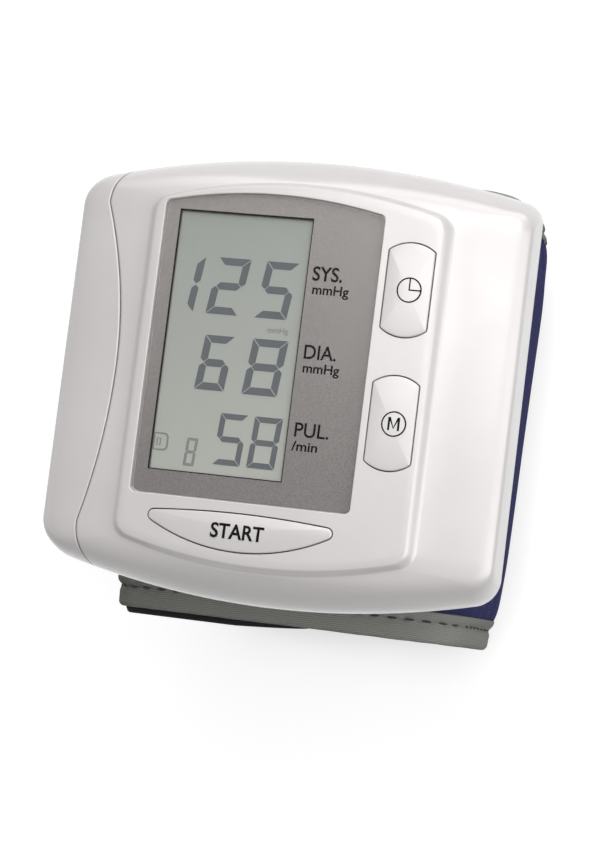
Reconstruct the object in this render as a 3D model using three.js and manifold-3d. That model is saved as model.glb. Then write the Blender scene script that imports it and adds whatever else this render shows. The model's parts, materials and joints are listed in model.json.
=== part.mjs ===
// A wrist blood pressure monitor: a two-part moulded housing with a display, three
// buttons and a slide-off battery cover, carried by a padded cuff closed into a ring.
// Millimetres, +Z up. X runs across the wrist and Y along the forearm. The ring lies on
// the floor at z = 0, and the origin is under the middle of the object.

import * as THREE from 'three';
import { mergeVertices } from 'three/addons/utils/BufferGeometryUtils.js';
import Module from 'manifold-3d';

const wasm = await Module();
wasm.setup();

// Clearances that serve the whole object
const seat_gap = 0.3;
const film_gap = 0.05;
const screw_gap = 0.15;
const cut_overrun = 1;

// Housing: the outline at the parting line, and the shell
const housing_width = 68.6;
const housing_length = 66.8;
const housing_depth = 30;
const housing_bow = 3.6;
const housing_corner = 6;
const front_depth = 10;
const wall = 2;
const back_side_taper = 4.3;
const back_end_taper = 1.8;
const back_edge = 2;
const inner_edge = 0.4;
const reveal = 0.5;
const tongue_height = 1.2;
const tongue_thickness = 0.8;

// Raised platform that carries the display and the buttons. Its width follows from
// what lies on it, below.
const step_side_run = 1.65;
const step_end_run = 1.15;
const foot_bow = 2.8;
const foot_corner = 3.2;
const platform_length = 55.5;
const platform_bow = 2.4;
const platform_corner = 2.4;
const platform_step = 1.3;
const platform_crown = 0.4;
const ceiling_inset = 0.8;

// How the shoulders, the step and the crown are stepped, as shares of their height
const shoulder_shares = [0, 0.4, 0.65, 0.82, 0.92, 0.97, 1];
const step_shares = [0.3, 0.7, 1];
const crown_shares = [0.7, 0.35];
const draft_shares = [0, 0.5, 1];
const side_power = 18;
const end_power = 2.2;
const draft_power = 1.5;
const corner_steps = 4;
const end_steps = 3;
const edge_steps = 3;

// Display stack
const panel_low_y = -18.6;
const panel_width = 33.2;
const panel_side_margin = 1.35;
const panel_length = 42.5;
const panel_arch = 2.54;
const panel_corner = 0.9;
const panel_recess = 0.5;
const pocket_gap = 0.2;
const lens_thickness = 0.6;
const mask_thickness = 0.3;
const ledge_width = 0.9;
const ledge_thickness = 0.7;
const window_left_margin = 2.15;
const window_right_margin = 10.75;
const window_low_margin = 3.5;
const window_high_margin = 0.5;
const glass_margin = 1.35;
const glass_thickness = 2.2;
const lcd_frame_overhang = 1.55;
const lcd_frame_end_margin = 0.6;
const lcd_frame_inset = 0.1;
const lcd_frame_wall = 1;
const connector_end_gap = 1.15;
const connector_thickness = 2;

// Buttons and the switches under them
const button_proud = 0.3;
const button_gap = 0.25;
const flange_width = 0.8;
const flange_thickness = 1;
const key_margin = 1.41;
const key_side_margin = 0.64;
const clock_y = 14.2;
const memory_y = -5.15;
const key_width = 6.8;
const key_length = 13.75;
const key_bow = 0.95;
const key_corner = 0.6;
const start_x = -3.12;
const start_y = -21.9;
const start_width = 28;
const start_rise = 1.4;
const start_belly = 4.1;
const start_end_radius = 0.8;
const start_switch_y = -22.2;
const stem_radius = 1.9;
const switch_size = 6;
const switch_height = 2.6;
const plunger_radius = 1.6;
const plunger_length = 2.3;
const plunger_rise = 1;
const plunger_gap = 0.2;

// Circuit board and what is soldered to it
const board_gap = 0.45;
const board_side_margin = 10.3;
const board_end_margin = 8;
const board_thickness = 1.2;
const board_depth = 9.2;
const post_radius = 1.8;
const board_screw_radius = 0.85;
const board_screw_length = 5;
const board_screw_head_radius = 1.6;
const board_screw_head_height = 0.9;
const board_screw_side_inset = 9.5;
const board_screw_end_inset = 1.3;
const board_screw_drop = 3.475;
const chip_margin = 2.9;
const chip_gap = 0.5;
const chip_size = 9;
const chip_thickness = 1.4;
const sensor_size = 7;
const sensor_height = 3.4;
const buzzer_x = -3;
const buzzer_y = -13;
const buzzer_radius = 4.5;
const buzzer_height = 3;

// Pump, valve, air block and hoses
const pump_x = 14.6;
const pump_low_y = -20;
const motor_radius = 7.8;
const motor_length = 24;
const pump_head_width = 17;
const pump_head_length = 12.7;
const pump_nozzle_offset = 4;
const valve_margin = 1.35;
const valve_low_y = -21;
const valve_radius = 4.5;
const valve_length = 18;
const block_x = 1;
const block_y = 8;
const block_size = 7;
const nozzle_radius = 1.1;
const nozzle_length = 3;
const spigot_radius = 1.6;
const hose_radius = 2.2;
const hose_bore = 1.5;
const hose_reach = 12;
const hose_sides = 8;
const hose_steps = 12;
const cradle_thickness = 1.5;
const cradle_rise = 5.5;
const cradle_margin = 1.5;

// Batteries, their bay and the cover, sized round two AAA cells
const cell_radius = 5.25;
const cell_length = 44.5;
const nub_radius = 1.9;
const nub_length = 1;
const bay_depth = 10.7;
const bay_length = 49;
const bay_wall = 1.2;
const bay_reach = 5.4;
const contact_thickness = 0.4;
const contact_width = 7;
const contact_height = 7.6;
const spring_base_radius = 3;
const spring_tip_radius = 1.9;
const spring_wire = 0.45;
const spring_turns = 2.5;
const spring_steps = 10;
const spring_sides = 5;
const cover_width = 8;
const seam_bow = 3.8;
const seam_reach = 24;
const seam_flare = 5;
const seam_steps = 12;
const seam_gap = 0.3;
const tab_width = 8;
const tab_reach = 3;
const tab_thickness = 0.7;
const tab_y = 9;
const tab_root = 4;
const tab_drop = 0.95;
const tab_gap = 0.2;

// Screws that hold the two shells, driven from the back
const boss_radius = 3;
const front_boss_radius = 2.2;
const boss_split_depth = 13.8;
const screw_radius = 1;
const screw_length = 9;
const screw_seat_depth = 20;
const screw_head_radius = 1.9;
const screw_head_height = 1.3;
const left_screw_x = -13.5;
const left_screw_end_inset = 5.1;
const right_screw_side_inset = 6.8;
const right_screw_end_inset = 9.4;

// Cuff: the ring seen from the end, and the padded band seen in section
const cuff_height = 48;
const cuff_x = -3.5;
const cuff_left = 31.4;
const cuff_right = 30;
const cuff_length = 71.4;
const cuff_flat = 0.5;
const ground_z = 0;
const near_power = 5.5;
const far_power = 2.4;
const crown_power = 8;
const hinge_angle = 28;
const base_end_angle = 285;
const strap_end_angle = -135;
const band_step_angle = 9;
const cover_thickness = 1.6;
const former_thickness = 0.9;
const bladder_thickness = 1.3;
const lining_thickness = 1;
const strap_thickness = 4.6;
const edge_sink = 1.8;
const edge_thickness = 0.8;
const former_inset = 11.2;
const bladder_inset = 12.2;
const former_angles = { from: 45, to: 207 };
const bladder_angles = { from: 54, to: 198 };
const bead_width = 3.3;
const flap_width = 1.8;
const flap_thickness = 0.5;
const hook_thickness = 0.9;
const hook_inset = 8.2;
const hook_angles = { from: -126, to: -81 };
const stud_radius = 2.4;
const stud_y = 20;
const anchor_screw_length = 3.6;
const anchor_head_radius = 3.4;
const anchor_head_height = 1.2;
const port_radius = 3.2;

// Roundness of turned pieces
const round_sides = 20;
const small_sides = 12;
const tiny_sides = 10;

// Widths and places that follow from the sizes above
const platform_width = panel_side_margin + panel_width + key_margin + key_width + key_side_margin;
const foot_width = platform_width + 2 * step_side_run;
const foot_length = platform_length + 2 * step_end_run;
const back_width = housing_width - 2 * back_side_taper;
const back_length = housing_length - 2 * back_end_taper;
const panel_x = -platform_width / 2 + panel_side_margin + panel_width / 2;
const panel_left_x = panel_x - panel_width / 2;
const key_x = panel_x + panel_width / 2 + key_margin + key_width / 2;
const window_width = panel_width - window_left_margin - window_right_margin;
const window_length = panel_length - window_low_margin - window_high_margin;
const window_x = panel_left_x + window_left_margin + window_width / 2;
const window_y = panel_low_y + window_low_margin + window_length / 2;
const bay_x = -housing_width / 2 + bay_depth;
const bay_right = bay_x + cell_radius + seat_gap;
const board_left = bay_right + bay_wall + board_gap;
const board_right = housing_width / 2 - board_side_margin;
const board_length = housing_length - 2 * board_end_margin;
const board_screw_places = [
  { x: board_right - board_screw_side_inset, y: board_length / 2 - board_screw_end_inset },
  { x: key_x, y: memory_y - key_length / 2 - board_screw_drop },
];
const lcd_frame_left = board_left + lcd_frame_inset;
const lcd_frame_right = window_x + window_width / 2 + glass_margin + lcd_frame_overhang;
const lcd_frame_width = lcd_frame_right - lcd_frame_left;
const lcd_frame_x = (lcd_frame_left + lcd_frame_right) / 2;
const lcd_frame_length = window_length + 2 * (glass_margin + lcd_frame_end_margin);
const connector_width = lcd_frame_width - 2 * (lcd_frame_wall + connector_end_gap);
const chip_x = board_left + chip_margin + chip_size / 2;
const chip_y = block_y + sensor_size / 2 + chip_gap + chip_size / 2;
const valve_x = bay_right + bay_wall + valve_margin + valve_radius;
const seam_middle = housing_width / 2 - cover_width;
const left_screw = { x: left_screw_x, y: housing_length / 2 - left_screw_end_inset };
const right_screw = {
  x: housing_width / 2 - right_screw_side_inset,
  y: housing_length / 2 - right_screw_end_inset,
};
const former_width = cuff_length - 2 * former_inset;
const bladder_width = cuff_length - 2 * bladder_inset;
const hook_width = cuff_length - 2 * hook_inset;

// Levels that follow from the sizes above
const back_z = cuff_height + seat_gap;
const face_z = back_z + housing_depth;
const parting_z = face_z - front_depth;
const foot_z = face_z - platform_crown - platform_step;
const floor_z = back_z + wall;
const lens_z = face_z - panel_recess - lens_thickness;
const mask_z = lens_z - film_gap - mask_thickness;
const ledge_z = mask_z - film_gap;
const ceiling_z = ledge_z - ledge_thickness;
const glass_z = ceiling_z - seat_gap - glass_thickness;
const board_z = face_z - board_depth - board_thickness;
const board_top_z = board_z + board_thickness;
const flange_z = ceiling_z - seat_gap - flange_thickness;
const boss_split_z = face_z - boss_split_depth;
const screw_seat_z = face_z - screw_seat_depth;

const model = new THREE.Group();

// Materials
const finishes = {
  white: { color: 0xf2f2f0, roughness: 0.22, metalness: 0 },
  inner: { color: 0xd8d9d6, roughness: 0.5, metalness: 0 },
  panel: { color: 0x8e8884, roughness: 0.4, metalness: 0.3 },
  clear: { color: 0xe8eef0, roughness: 0.05, metalness: 0 },
  lcd: { color: 0xa3a89f, roughness: 0.3, metalness: 0 },
  board: { color: 0x2f6b45, roughness: 0.5, metalness: 0 },
  black: { color: 0x1c1c1f, roughness: 0.5, metalness: 0 },
  steel: { color: 0xb9bcc0, roughness: 0.3, metalness: 1 },
  brass: { color: 0xc9a55a, roughness: 0.3, metalness: 1 },
  hose: { color: 0xd9dcdd, roughness: 0.4, metalness: 0 },
  cell: { color: 0x4a5560, roughness: 0.35, metalness: 0.5 },
  navy: { color: 0x35316f, roughness: 0.9, metalness: 0 },
  grey: { color: 0x8f938a, roughness: 0.9, metalness: 0 },
  dark: { color: 0x26272b, roughness: 0.95, metalness: 0 },
};

// Closed mesh to solid, and back
function solid(geometry) {
  const bare = geometry.clone();
  bare.deleteAttribute('normal');
  bare.deleteAttribute('uv');
  const merged = mergeVertices(bare);
  return new wasm.Manifold(new wasm.Mesh({
    numProp: 3,
    vertProperties: new Float32Array(merged.attributes.position.array),
    triVerts: new Uint32Array(merged.index.array),
  }));
}

function meshed(shape) {
  const mesh = shape.getMesh();
  const geometry = new THREE.BufferGeometry();
  geometry.setAttribute('position', new THREE.BufferAttribute(mesh.vertProperties, mesh.numProp));
  geometry.setIndex(new THREE.BufferAttribute(mesh.triVerts, 1));
  geometry.computeVertexNormals();
  return geometry;
}

function add(name, shape, finish) {
  const geometry = shape.isBufferGeometry ? shape : meshed(shape);
  const mesh = new THREE.Mesh(geometry, new THREE.MeshStandardMaterial(finishes[finish]));
  mesh.name = name;
  model.add(mesh);
  return mesh;
}

// Skin over a row of closed loops that all have as many points as the flat outline
function skin(loops, flat) {
  const count = flat.length;
  const last = (loops.length - 1) * count;
  const index = [];
  for (let row = 0; row + 1 < loops.length; row += 1) {
    for (let k = 0; k < count; k += 1) {
      const a = row * count + k;
      const b = row * count + ((k + 1) % count);
      index.push(a, b, b + count, a, b + count, a + count);
    }
  }
  const clockwise = THREE.ShapeUtils.isClockWise(flat);
  for (const triangle of THREE.ShapeUtils.triangulateShape(flat, [])) {
    const [a, b, c] = clockwise ? triangle.reverse() : triangle;
    index.push(a, c, b, last + a, last + b, last + c);
  }
  const points = loops.flat();
  const geometry = new THREE.BufferGeometry().setFromPoints(points);
  geometry.setIndex(insideOut(points, index) ? index.reverse() : index);
  return solid(geometry);
}

function insideOut(points, index) {
  let volume = 0;
  for (let i = 0; i < index.length; i += 3) {
    const [a, b, c] = [points[index[i]], points[index[i + 1]], points[index[i + 2]]];
    volume += a.dot(b.clone().cross(c));
  }
  return volume < 0;
}

// Plain solids, each standing on z
function prism(points, z, height) {
  const geometry = new THREE.ExtrudeGeometry(new THREE.Shape(points), {
    depth: height,
    bevelEnabled: false,
  });
  return solid(geometry.translate(0, 0, z));
}

function block(x, y, z, width, length, height) {
  const geometry = new THREE.BoxGeometry(width, length, height);
  return solid(geometry.translate(x, y, z + height / 2));
}

function disc(x, y, z, radius, height, sides = small_sides) {
  const geometry = new THREE.CylinderGeometry(radius, radius, height, sides).rotateX(Math.PI / 2);
  return solid(geometry.translate(x, y, z + height / 2));
}

// A round bar along Y, starting at y
function bar(x, y, z, radius, length, sides = small_sides) {
  const geometry = new THREE.CylinderGeometry(radius, radius, length, sides);
  return solid(geometry.translate(x, y + length / 2, z));
}

function arcPoints(x, y, radius, from, to, steps) {
  const points = [];
  for (let i = 0; i <= steps; i += 1) {
    const angle = from + ((to - from) * i) / steps;
    points.push(new THREE.Vector2(x + radius * Math.cos(angle), y + radius * Math.sin(angle)));
  }
  return points;
}

// Outline with straight sides, bowed ends and round corners, anticlockwise from +X
function barrel({ half_width, half_length, bow, corner }) {
  const run = half_width - corner;
  const end_radius = (run * run + bow * bow) / (2 * bow);
  const lean = Math.asin(run / (end_radius - corner));
  const end_y = half_length - end_radius;
  const corner_y = end_y + (end_radius - corner) * Math.cos(lean);
  const turn = Math.PI / 2 - lean;
  const quarter = [
    ...arcPoints(run, corner_y, corner, 0, turn, corner_steps),
    ...arcPoints(0, end_y, end_radius, turn, Math.PI / 2, end_steps).slice(1),
  ];
  const mirror = (points, sx, sy) => points.map((p) => new THREE.Vector2(p.x * sx, p.y * sy));
  const back = quarter.slice(0, -1).reverse();
  return [
    ...quarter,
    ...mirror(back, -1, 1),
    ...mirror(quarter, -1, -1),
    ...mirror(back, 1, -1),
  ];
}

// Half-lens outline: a shallow arc above and a deep one below, on round ends
function halfLens({ x, y, half_width, rise, belly, end_radius }) {
  const run = half_width - end_radius;
  const arc = (depth) => (run * run / (depth - end_radius) + end_radius + depth) / 2;
  const [top, low] = [arc(rise), arc(belly)];
  const top_lean = Math.asin(run / (top - end_radius));
  const low_lean = Math.asin(run / (low - end_radius));
  const quarter = Math.PI / 2;
  const [top_y, low_y] = [y + rise - top, y - belly + low];
  return [
    ...arcPoints(x, top_y, top, quarter - top_lean, quarter + top_lean, end_steps),
    ...arcPoints(x - run, y, end_radius, quarter + top_lean, 3 * quarter - low_lean, corner_steps),
    ...arcPoints(x, low_y, low, 3 * quarter - low_lean, 3 * quarter + low_lean, 2 * end_steps)
      .slice(1),
    ...arcPoints(x + run, y, end_radius, low_lean - quarter, quarter - top_lean, corner_steps)
      .slice(1, -1),
  ];
}

// Display panel outline: straight sides and foot, arched head, grown by an offset
function panelOutline(grow) {
  const half = panel_width / 2 + grow;
  const low = panel_low_y - grow;
  const high = panel_low_y + panel_length + grow;
  const r = panel_corner;
  const rise = (x) => panel_arch * (1 - ((x - panel_x) / (half - r)) ** 2);
  const quarter = Math.PI / 2;
  const head = [];
  for (let i = 1; i < 2 * end_steps; i += 1) {
    const x = panel_x + (half - r) * (1 - i / end_steps);
    head.push(new THREE.Vector2(x, high + rise(x)));
  }
  return [
    ...arcPoints(panel_x + half - r, low + r, r, -quarter, 0, edge_steps),
    ...arcPoints(panel_x + half - r, high - r, r, 0, quarter, edge_steps),
    ...head,
    ...arcPoints(panel_x - half + r, high - r, r, quarter, 2 * quarter, edge_steps),
    ...arcPoints(panel_x - half + r, low + r, r, 2 * quarter, 3 * quarter, edge_steps),
  ];
}

// A ring of the housing: an outline at its level
function ring(z, outline) {
  return barrel(outline).map((p) => new THREE.Vector3(p.x, p.y, z));
}

function between(start, end, share) {
  return start + (end - start) * share;
}

// Rings that climb from the parting line to the foot of the platform. The two long
// sides stay upright almost to the top, and the two bowed ends lean in sooner.
function shoulderRings(inset, foot_inset, low_z, high_z) {
  return shoulder_shares.map((share) => {
    const side = share ** side_power;
    const end = share ** end_power;
    return ring(between(low_z, high_z, share), {
      half_width: between(housing_width / 2 - inset, foot_width / 2 - foot_inset, side),
      half_length: between(housing_length / 2 - inset, foot_length / 2 - foot_inset, end),
      bow: between(housing_bow, foot_bow, end),
      corner: between(housing_corner - inset / 2, foot_corner, end),
    });
  });
}

// Rings over the soft step, and over the crowned top that they enclose
function platformRings(raise) {
  const smooth = (share) => share * share * (3 - 2 * share);
  const step = step_shares.map((share) => ring(foot_z + raise + platform_step * smooth(share), {
    half_width: between(foot_width, platform_width, share) / 2,
    half_length: between(foot_length, platform_length, share) / 2,
    bow: between(foot_bow, platform_bow, share),
    corner: between(foot_corner, platform_corner, share),
  }));
  const crown = crown_shares.map((share) => ring(
    face_z + raise - platform_crown * share * share,
    {
      half_width: (platform_width / 2) * share,
      half_length: (platform_length / 2) * share,
      bow: platform_bow * share,
      corner: platform_corner * share,
    },
  ));
  return { step, crown };
}

const flat_ring = barrel({
  half_width: housing_width / 2,
  half_length: housing_length / 2,
  bow: housing_bow,
  corner: housing_corner,
});

// The front form, outside and inside
const top_rings = platformRings(0);
const front_outside = skin(
  [...shoulderRings(0, 0, parting_z, foot_z), ...top_rings.step, ...top_rings.crown],
  flat_ring,
);
const inner_foot_inset = wall / 3;
const front_inside = skin(
  [
    ring(parting_z - cut_overrun, {
      half_width: housing_width / 2 - wall,
      half_length: housing_length / 2 - wall,
      bow: housing_bow,
      corner: housing_corner - wall / 2,
    }),
    ...shoulderRings(wall, inner_foot_inset, parting_z, foot_z - wall),
    ring(ceiling_z, {
      half_width: foot_width / 2 - inner_foot_inset - ceiling_inset,
      half_length: foot_length / 2 - inner_foot_inset - ceiling_inset,
      bow: foot_bow,
      corner: foot_corner,
    }),
  ],
  flat_ring,
);

// The rear form tapers to the back, with a rounded edge there
function rearRings(inset, low_z, high_z, edge) {
  const size = (share) => ({
    half_width: between(housing_width / 2 - reveal, back_width / 2, share ** draft_power) - inset,
    half_length: between(housing_length / 2 - reveal, back_length / 2, share ** draft_power) - inset,
    bow: between(housing_bow, platform_bow, share),
    corner: housing_corner - inset / 2,
  });
  const rings = [];
  for (let i = edge_steps; i > 0; i -= 1) {
    const angle = (Math.PI / 2) * (i / edge_steps);
    const full = size(1);
    full.half_width -= edge * (1 - Math.cos(angle));
    full.half_length -= edge * (1 - Math.cos(angle));
    rings.push(ring(low_z + edge * (1 - Math.sin(angle)), full));
  }
  for (const share of [...draft_shares].reverse()) {
    rings.push(ring(between(high_z, low_z + edge, share), size(share)));
  }
  return rings;
}

const rear_outside = skin(rearRings(0, back_z, parting_z, back_edge), flat_ring);
const rear_inside = skin(
  [
    ...rearRings(wall, floor_z, parting_z, inner_edge),
    ring(parting_z + cut_overrun, {
      half_width: housing_width / 2 - reveal - wall,
      half_length: housing_length / 2 - reveal - wall,
      bow: housing_bow,
      corner: housing_corner - wall / 2,
    }),
  ],
  flat_ring,
);

// Everything left of the seam belongs to the battery cover
function seamX(y) {
  const far = Math.max(0, Math.abs(y) - seam_reach) / (housing_length / 2 - seam_reach);
  const near = Math.min(1, Math.abs(y) / seam_reach);
  return -(seam_middle + seam_bow * near * near - seam_flare * far * far);
}

function coverSide(shift) {
  const reach = housing_length / 2 + cut_overrun;
  const points = [];
  for (let i = 0; i <= 2 * seam_steps; i += 1) {
    const y = reach * (i / seam_steps - 1);
    points.push(new THREE.Vector2(seamX(y) - shift, y));
  }
  points.push(new THREE.Vector2(-housing_width, reach), new THREE.Vector2(-housing_width, -reach));
  return prism(points, back_z - cut_overrun, housing_depth + 2 * cut_overrun);
}

const cover_side = coverSide(0);
const screws = [];
for (const place of [left_screw, right_screw]) {
  screws.push({ x: place.x, y: place.y }, { x: place.x, y: -place.y });
}

// Button outlines, grown for their holes and flanges
function keyOutline(y, grow) {
  const outline = barrel({
    half_width: key_width / 2 + grow,
    half_length: key_length / 2 + grow,
    bow: key_bow,
    corner: key_corner + grow,
  });
  return outline.map((p) => new THREE.Vector2(p.x + key_x, p.y + y));
}

function startOutline(grow) {
  return halfLens({
    x: start_x,
    y: start_y,
    half_width: start_width / 2 + grow,
    rise: start_rise + grow,
    belly: start_belly + grow,
    end_radius: start_end_radius + grow,
  });
}

const buttons = [
  { name: 'start', x: start_x, y: start_switch_y, outline: startOutline },
  { name: 'clock', x: key_x, y: clock_y, outline: (grow) => keyOutline(clock_y, grow) },
  { name: 'memory', x: key_x, y: memory_y, outline: (grow) => keyOutline(memory_y, grow) },
];

// Front shell: screw bosses and board posts hang from it, then the display pocket,
// the button wells and the pilot holes are cut
function frontShell() {
  const pocket_height = face_z - ledge_z + cut_overrun;
  const through_height = pocket_height + ledge_thickness + cut_overrun;
  let shell = front_outside.subtract(front_inside);
  const hung_height = face_z - boss_split_z;
  for (const { x, y } of screws) {
    const boss = disc(x, y, boss_split_z, front_boss_radius, hung_height);
    shell = shell.add(boss.intersect(front_outside));
  }
  for (const { x, y } of board_screw_places) {
    const post_z = board_top_z + film_gap;
    shell = shell.add(disc(x, y, post_z, post_radius, ceiling_z - post_z + ledge_thickness));
  }
  shell = shell.subtract(prism(panelOutline(pocket_gap), ledge_z, pocket_height));
  shell = shell.subtract(prism(panelOutline(-ledge_width), ceiling_z - cut_overrun, through_height));
  for (const button of buttons) {
    shell = shell.subtract(
      prism(button.outline(button_gap), ceiling_z - cut_overrun, through_height),
    );
  }
  for (const { x, y } of screws) {
    const pilot_z = boss_split_z - cut_overrun;
    const pilot_height = screw_seat_z + screw_length + seat_gap - pilot_z;
    shell = shell.subtract(disc(x, y, pilot_z, screw_radius + screw_gap, pilot_height, tiny_sides));
  }
  for (const { x, y } of board_screw_places) {
    const pilot_height = board_screw_length - board_thickness;
    const pilot = disc(x, y, board_top_z, board_screw_radius + screw_gap, pilot_height, tiny_sides);
    shell = shell.subtract(pilot);
  }
  return shell.subtract(cover_side);
}

// Rear shell: a tub with a tongue round its rim, screw bosses, the battery bay's walls
// and the cradles for the pump and the valve
const cell_low_z = floor_z + tab_gap + tab_thickness + seat_gap + cell_radius;
const cell_high_z = cell_low_z + 2 * cell_radius + seat_gap;
const bay_top_z = glass_z - 2 * seat_gap;
const pump_z = floor_z + seat_gap + pump_head_width / 2;
const valve_z = floor_z + seat_gap + valve_radius;

function cradle(x, y, z, radius) {
  const width = 2 * (radius - cradle_margin);
  const saddle = block(x, y, floor_z - wall / 2, width, cradle_thickness, cradle_rise + wall / 2);
  const seat = bar(x, y - cradle_thickness, z, radius + seat_gap, 2 * cradle_thickness, round_sides);
  return saddle.subtract(seat);
}

function rearShell() {
  let shell = rear_outside.subtract(rear_inside);
  const tongue_outline = (inset) => barrel({
    half_width: housing_width / 2 - wall - seat_gap - inset,
    half_length: housing_length / 2 - wall - seat_gap - inset,
    bow: housing_bow,
    corner: housing_corner - wall / 2,
  });
  const tongue_z = parting_z - tongue_height;
  const tongue = prism(tongue_outline(0), tongue_z, 2 * tongue_height)
    .subtract(prism(
      tongue_outline(tongue_thickness),
      tongue_z - cut_overrun,
      2 * (tongue_height + cut_overrun),
    ));
  shell = shell.add(tongue);
  const boss_height = boss_split_z - seat_gap - back_z;
  for (const { x, y } of screws) {
    shell = shell.add(disc(x, y, back_z, boss_radius, boss_height).intersect(rear_outside));
  }
  const bay_height = bay_top_z - floor_z + wall / 2;
  const bay_base_z = floor_z - wall / 2;
  const bay_end_width = bay_right + bay_wall - (bay_x - bay_reach);
  const bay_end_x = bay_right + bay_wall - bay_end_width / 2;
  const partition_x = bay_right + bay_wall / 2;
  const bay_span = bay_length + 2 * bay_wall;
  shell = shell.add(block(partition_x, 0, bay_base_z, bay_wall, bay_span, bay_height));
  for (const side of [-1, 1]) {
    const y = side * (bay_length + bay_wall) / 2;
    shell = shell.add(block(bay_end_x, y, bay_base_z, bay_end_width, bay_wall, bay_height));
  }
  shell = shell.add(cradle(pump_x, pump_low_y + motor_length / 4, pump_z, motor_radius));
  shell = shell.add(cradle(pump_x, pump_low_y + (3 * motor_length) / 4, pump_z, motor_radius));
  shell = shell.add(cradle(valve_x, valve_low_y + valve_length / 2, valve_z, valve_radius));
  for (const { x, y } of screws) {
    const relief_z = boss_split_z - seat_gap;
    const relief_height = parting_z + tongue_height + cut_overrun - relief_z;
    shell = shell.subtract(disc(x, y, relief_z, front_boss_radius + seat_gap, relief_height));
    const bore_height = boss_height + 2 * cut_overrun;
    const bore_z = back_z - cut_overrun;
    shell = shell.subtract(disc(x, y, bore_z, screw_radius + screw_gap, bore_height, tiny_sides));
    const sink_height = screw_seat_z - bore_z;
    shell = shell.subtract(disc(x, y, bore_z, screw_head_radius + seat_gap, sink_height));
  }
  const hole_height = wall + 2 * cut_overrun;
  const hole_z = back_z - cut_overrun;
  for (const y of [-stud_y, stud_y]) {
    shell = shell.subtract(disc(block_x, y, hole_z, stud_radius + seat_gap, hole_height));
  }
  shell = shell.subtract(disc(block_x, block_y, hole_z, spigot_radius + seat_gap, hole_height));
  return shell.subtract(cover_side);
}

// Battery cover: the whole left side of the housing, with two tabs that slide under the
// front shell and two that slide between the back wall and the lower cell
function batteryCover() {
  const side = coverSide(seam_gap);
  const outside = front_outside.add(rear_outside).intersect(side);
  let cover = outside.subtract(front_inside.add(rear_inside));
  const tab_x = -seam_middle - tab_root;
  const tab_span = tab_root + tab_reach;
  const front_tab_z = foot_z - wall - tab_drop - tab_thickness;
  for (const y of [-tab_y, tab_y]) {
    for (const z of [front_tab_z, floor_z + tab_gap]) {
      const tab = block(tab_x + tab_span / 2, y, z, tab_span, tab_width, tab_thickness);
      cover = cover.add(tab.intersect(front_outside.add(rear_outside)));
    }
    const root = block(tab_x + tab_root / 2, y, front_tab_z, tab_root, tab_width,
      tab_thickness + wall);
    cover = cover.add(root.intersect(outside));
  }
  return cover;
}

add('front_shell', frontShell(), 'white');
add('rear_shell', rearShell(), 'white');
add('battery_cover', batteryCover(), 'white');

// Display stack, from the front: clear lens, printed mask, liquid crystal cell, its
// frame and the rubber connector to the board
const window_shape = (margin, z, height) => block(
  window_x,
  window_y,
  z,
  window_width + 2 * margin,
  window_length + 2 * margin,
  height,
);
add('display_lens', prism(panelOutline(0), lens_z, lens_thickness), 'clear');
add('display_mask', prism(panelOutline(0), mask_z, mask_thickness)
  .subtract(window_shape(0, mask_z - cut_overrun, 2 * cut_overrun + mask_thickness)), 'panel');
add('lcd_glass', window_shape(glass_margin, glass_z, glass_thickness), 'lcd');

const lcd_frame_z = board_top_z + film_gap;
const lcd_frame_height = glass_z - seat_gap - lcd_frame_z;
add('lcd_frame', block(lcd_frame_x, window_y, lcd_frame_z, lcd_frame_width, lcd_frame_length,
  lcd_frame_height).subtract(block(lcd_frame_x, window_y, lcd_frame_z - cut_overrun,
  lcd_frame_width - 2 * lcd_frame_wall, lcd_frame_length - 2 * lcd_frame_wall,
  lcd_frame_height + 2 * cut_overrun)), 'inner');
const connector_y = window_y - lcd_frame_length / 2 + lcd_frame_wall + seat_gap
  + connector_thickness / 2;
add('lcd_connector', block(lcd_frame_x, connector_y, lcd_frame_z, connector_width,
  connector_thickness, glass_z - film_gap - lcd_frame_z), 'black');

// Board with its screw holes, and the parts on its underside
function mainBoard() {
  const width = board_right - board_left;
  let board = block((board_left + board_right) / 2, 0, board_z, width, board_length,
    board_thickness);
  for (const { x, y } of board_screw_places) {
    board = board.subtract(disc(x, y, board_z - cut_overrun, board_screw_radius + screw_gap,
      board_thickness + 2 * cut_overrun, tiny_sides));
  }
  return board;
}

add('main_board', mainBoard(), 'board');
const under_board = (height) => board_z - film_gap - height;
add('controller_chip', block(chip_x, chip_y, under_board(chip_thickness), chip_size, chip_size,
  chip_thickness), 'black');
const sensor_z = under_board(sensor_height);
add('pressure_sensor', block(block_x, block_y, sensor_z, sensor_size, sensor_size, sensor_height)
  .add(disc(block_x, block_y, sensor_z - nozzle_length, nozzle_radius,
    nozzle_length + sensor_height / 2, tiny_sides)), 'inner');
add('buzzer', disc(buzzer_x, buzzer_y, under_board(buzzer_height), buzzer_radius, buzzer_height,
  round_sides), 'black');
board_screw_places.forEach(({ x, y }, i) => {
  const head_z = board_z - seat_gap - board_screw_head_height;
  const shank_height = board_screw_length - board_thickness + board_screw_head_height;
  add(`board_screw_${i + 1}`, disc(x, y, head_z, board_screw_head_radius,
    board_screw_head_height, tiny_sides).add(disc(x, y, head_z, board_screw_radius, shank_height,
    tiny_sides)), 'steel');
});

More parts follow.
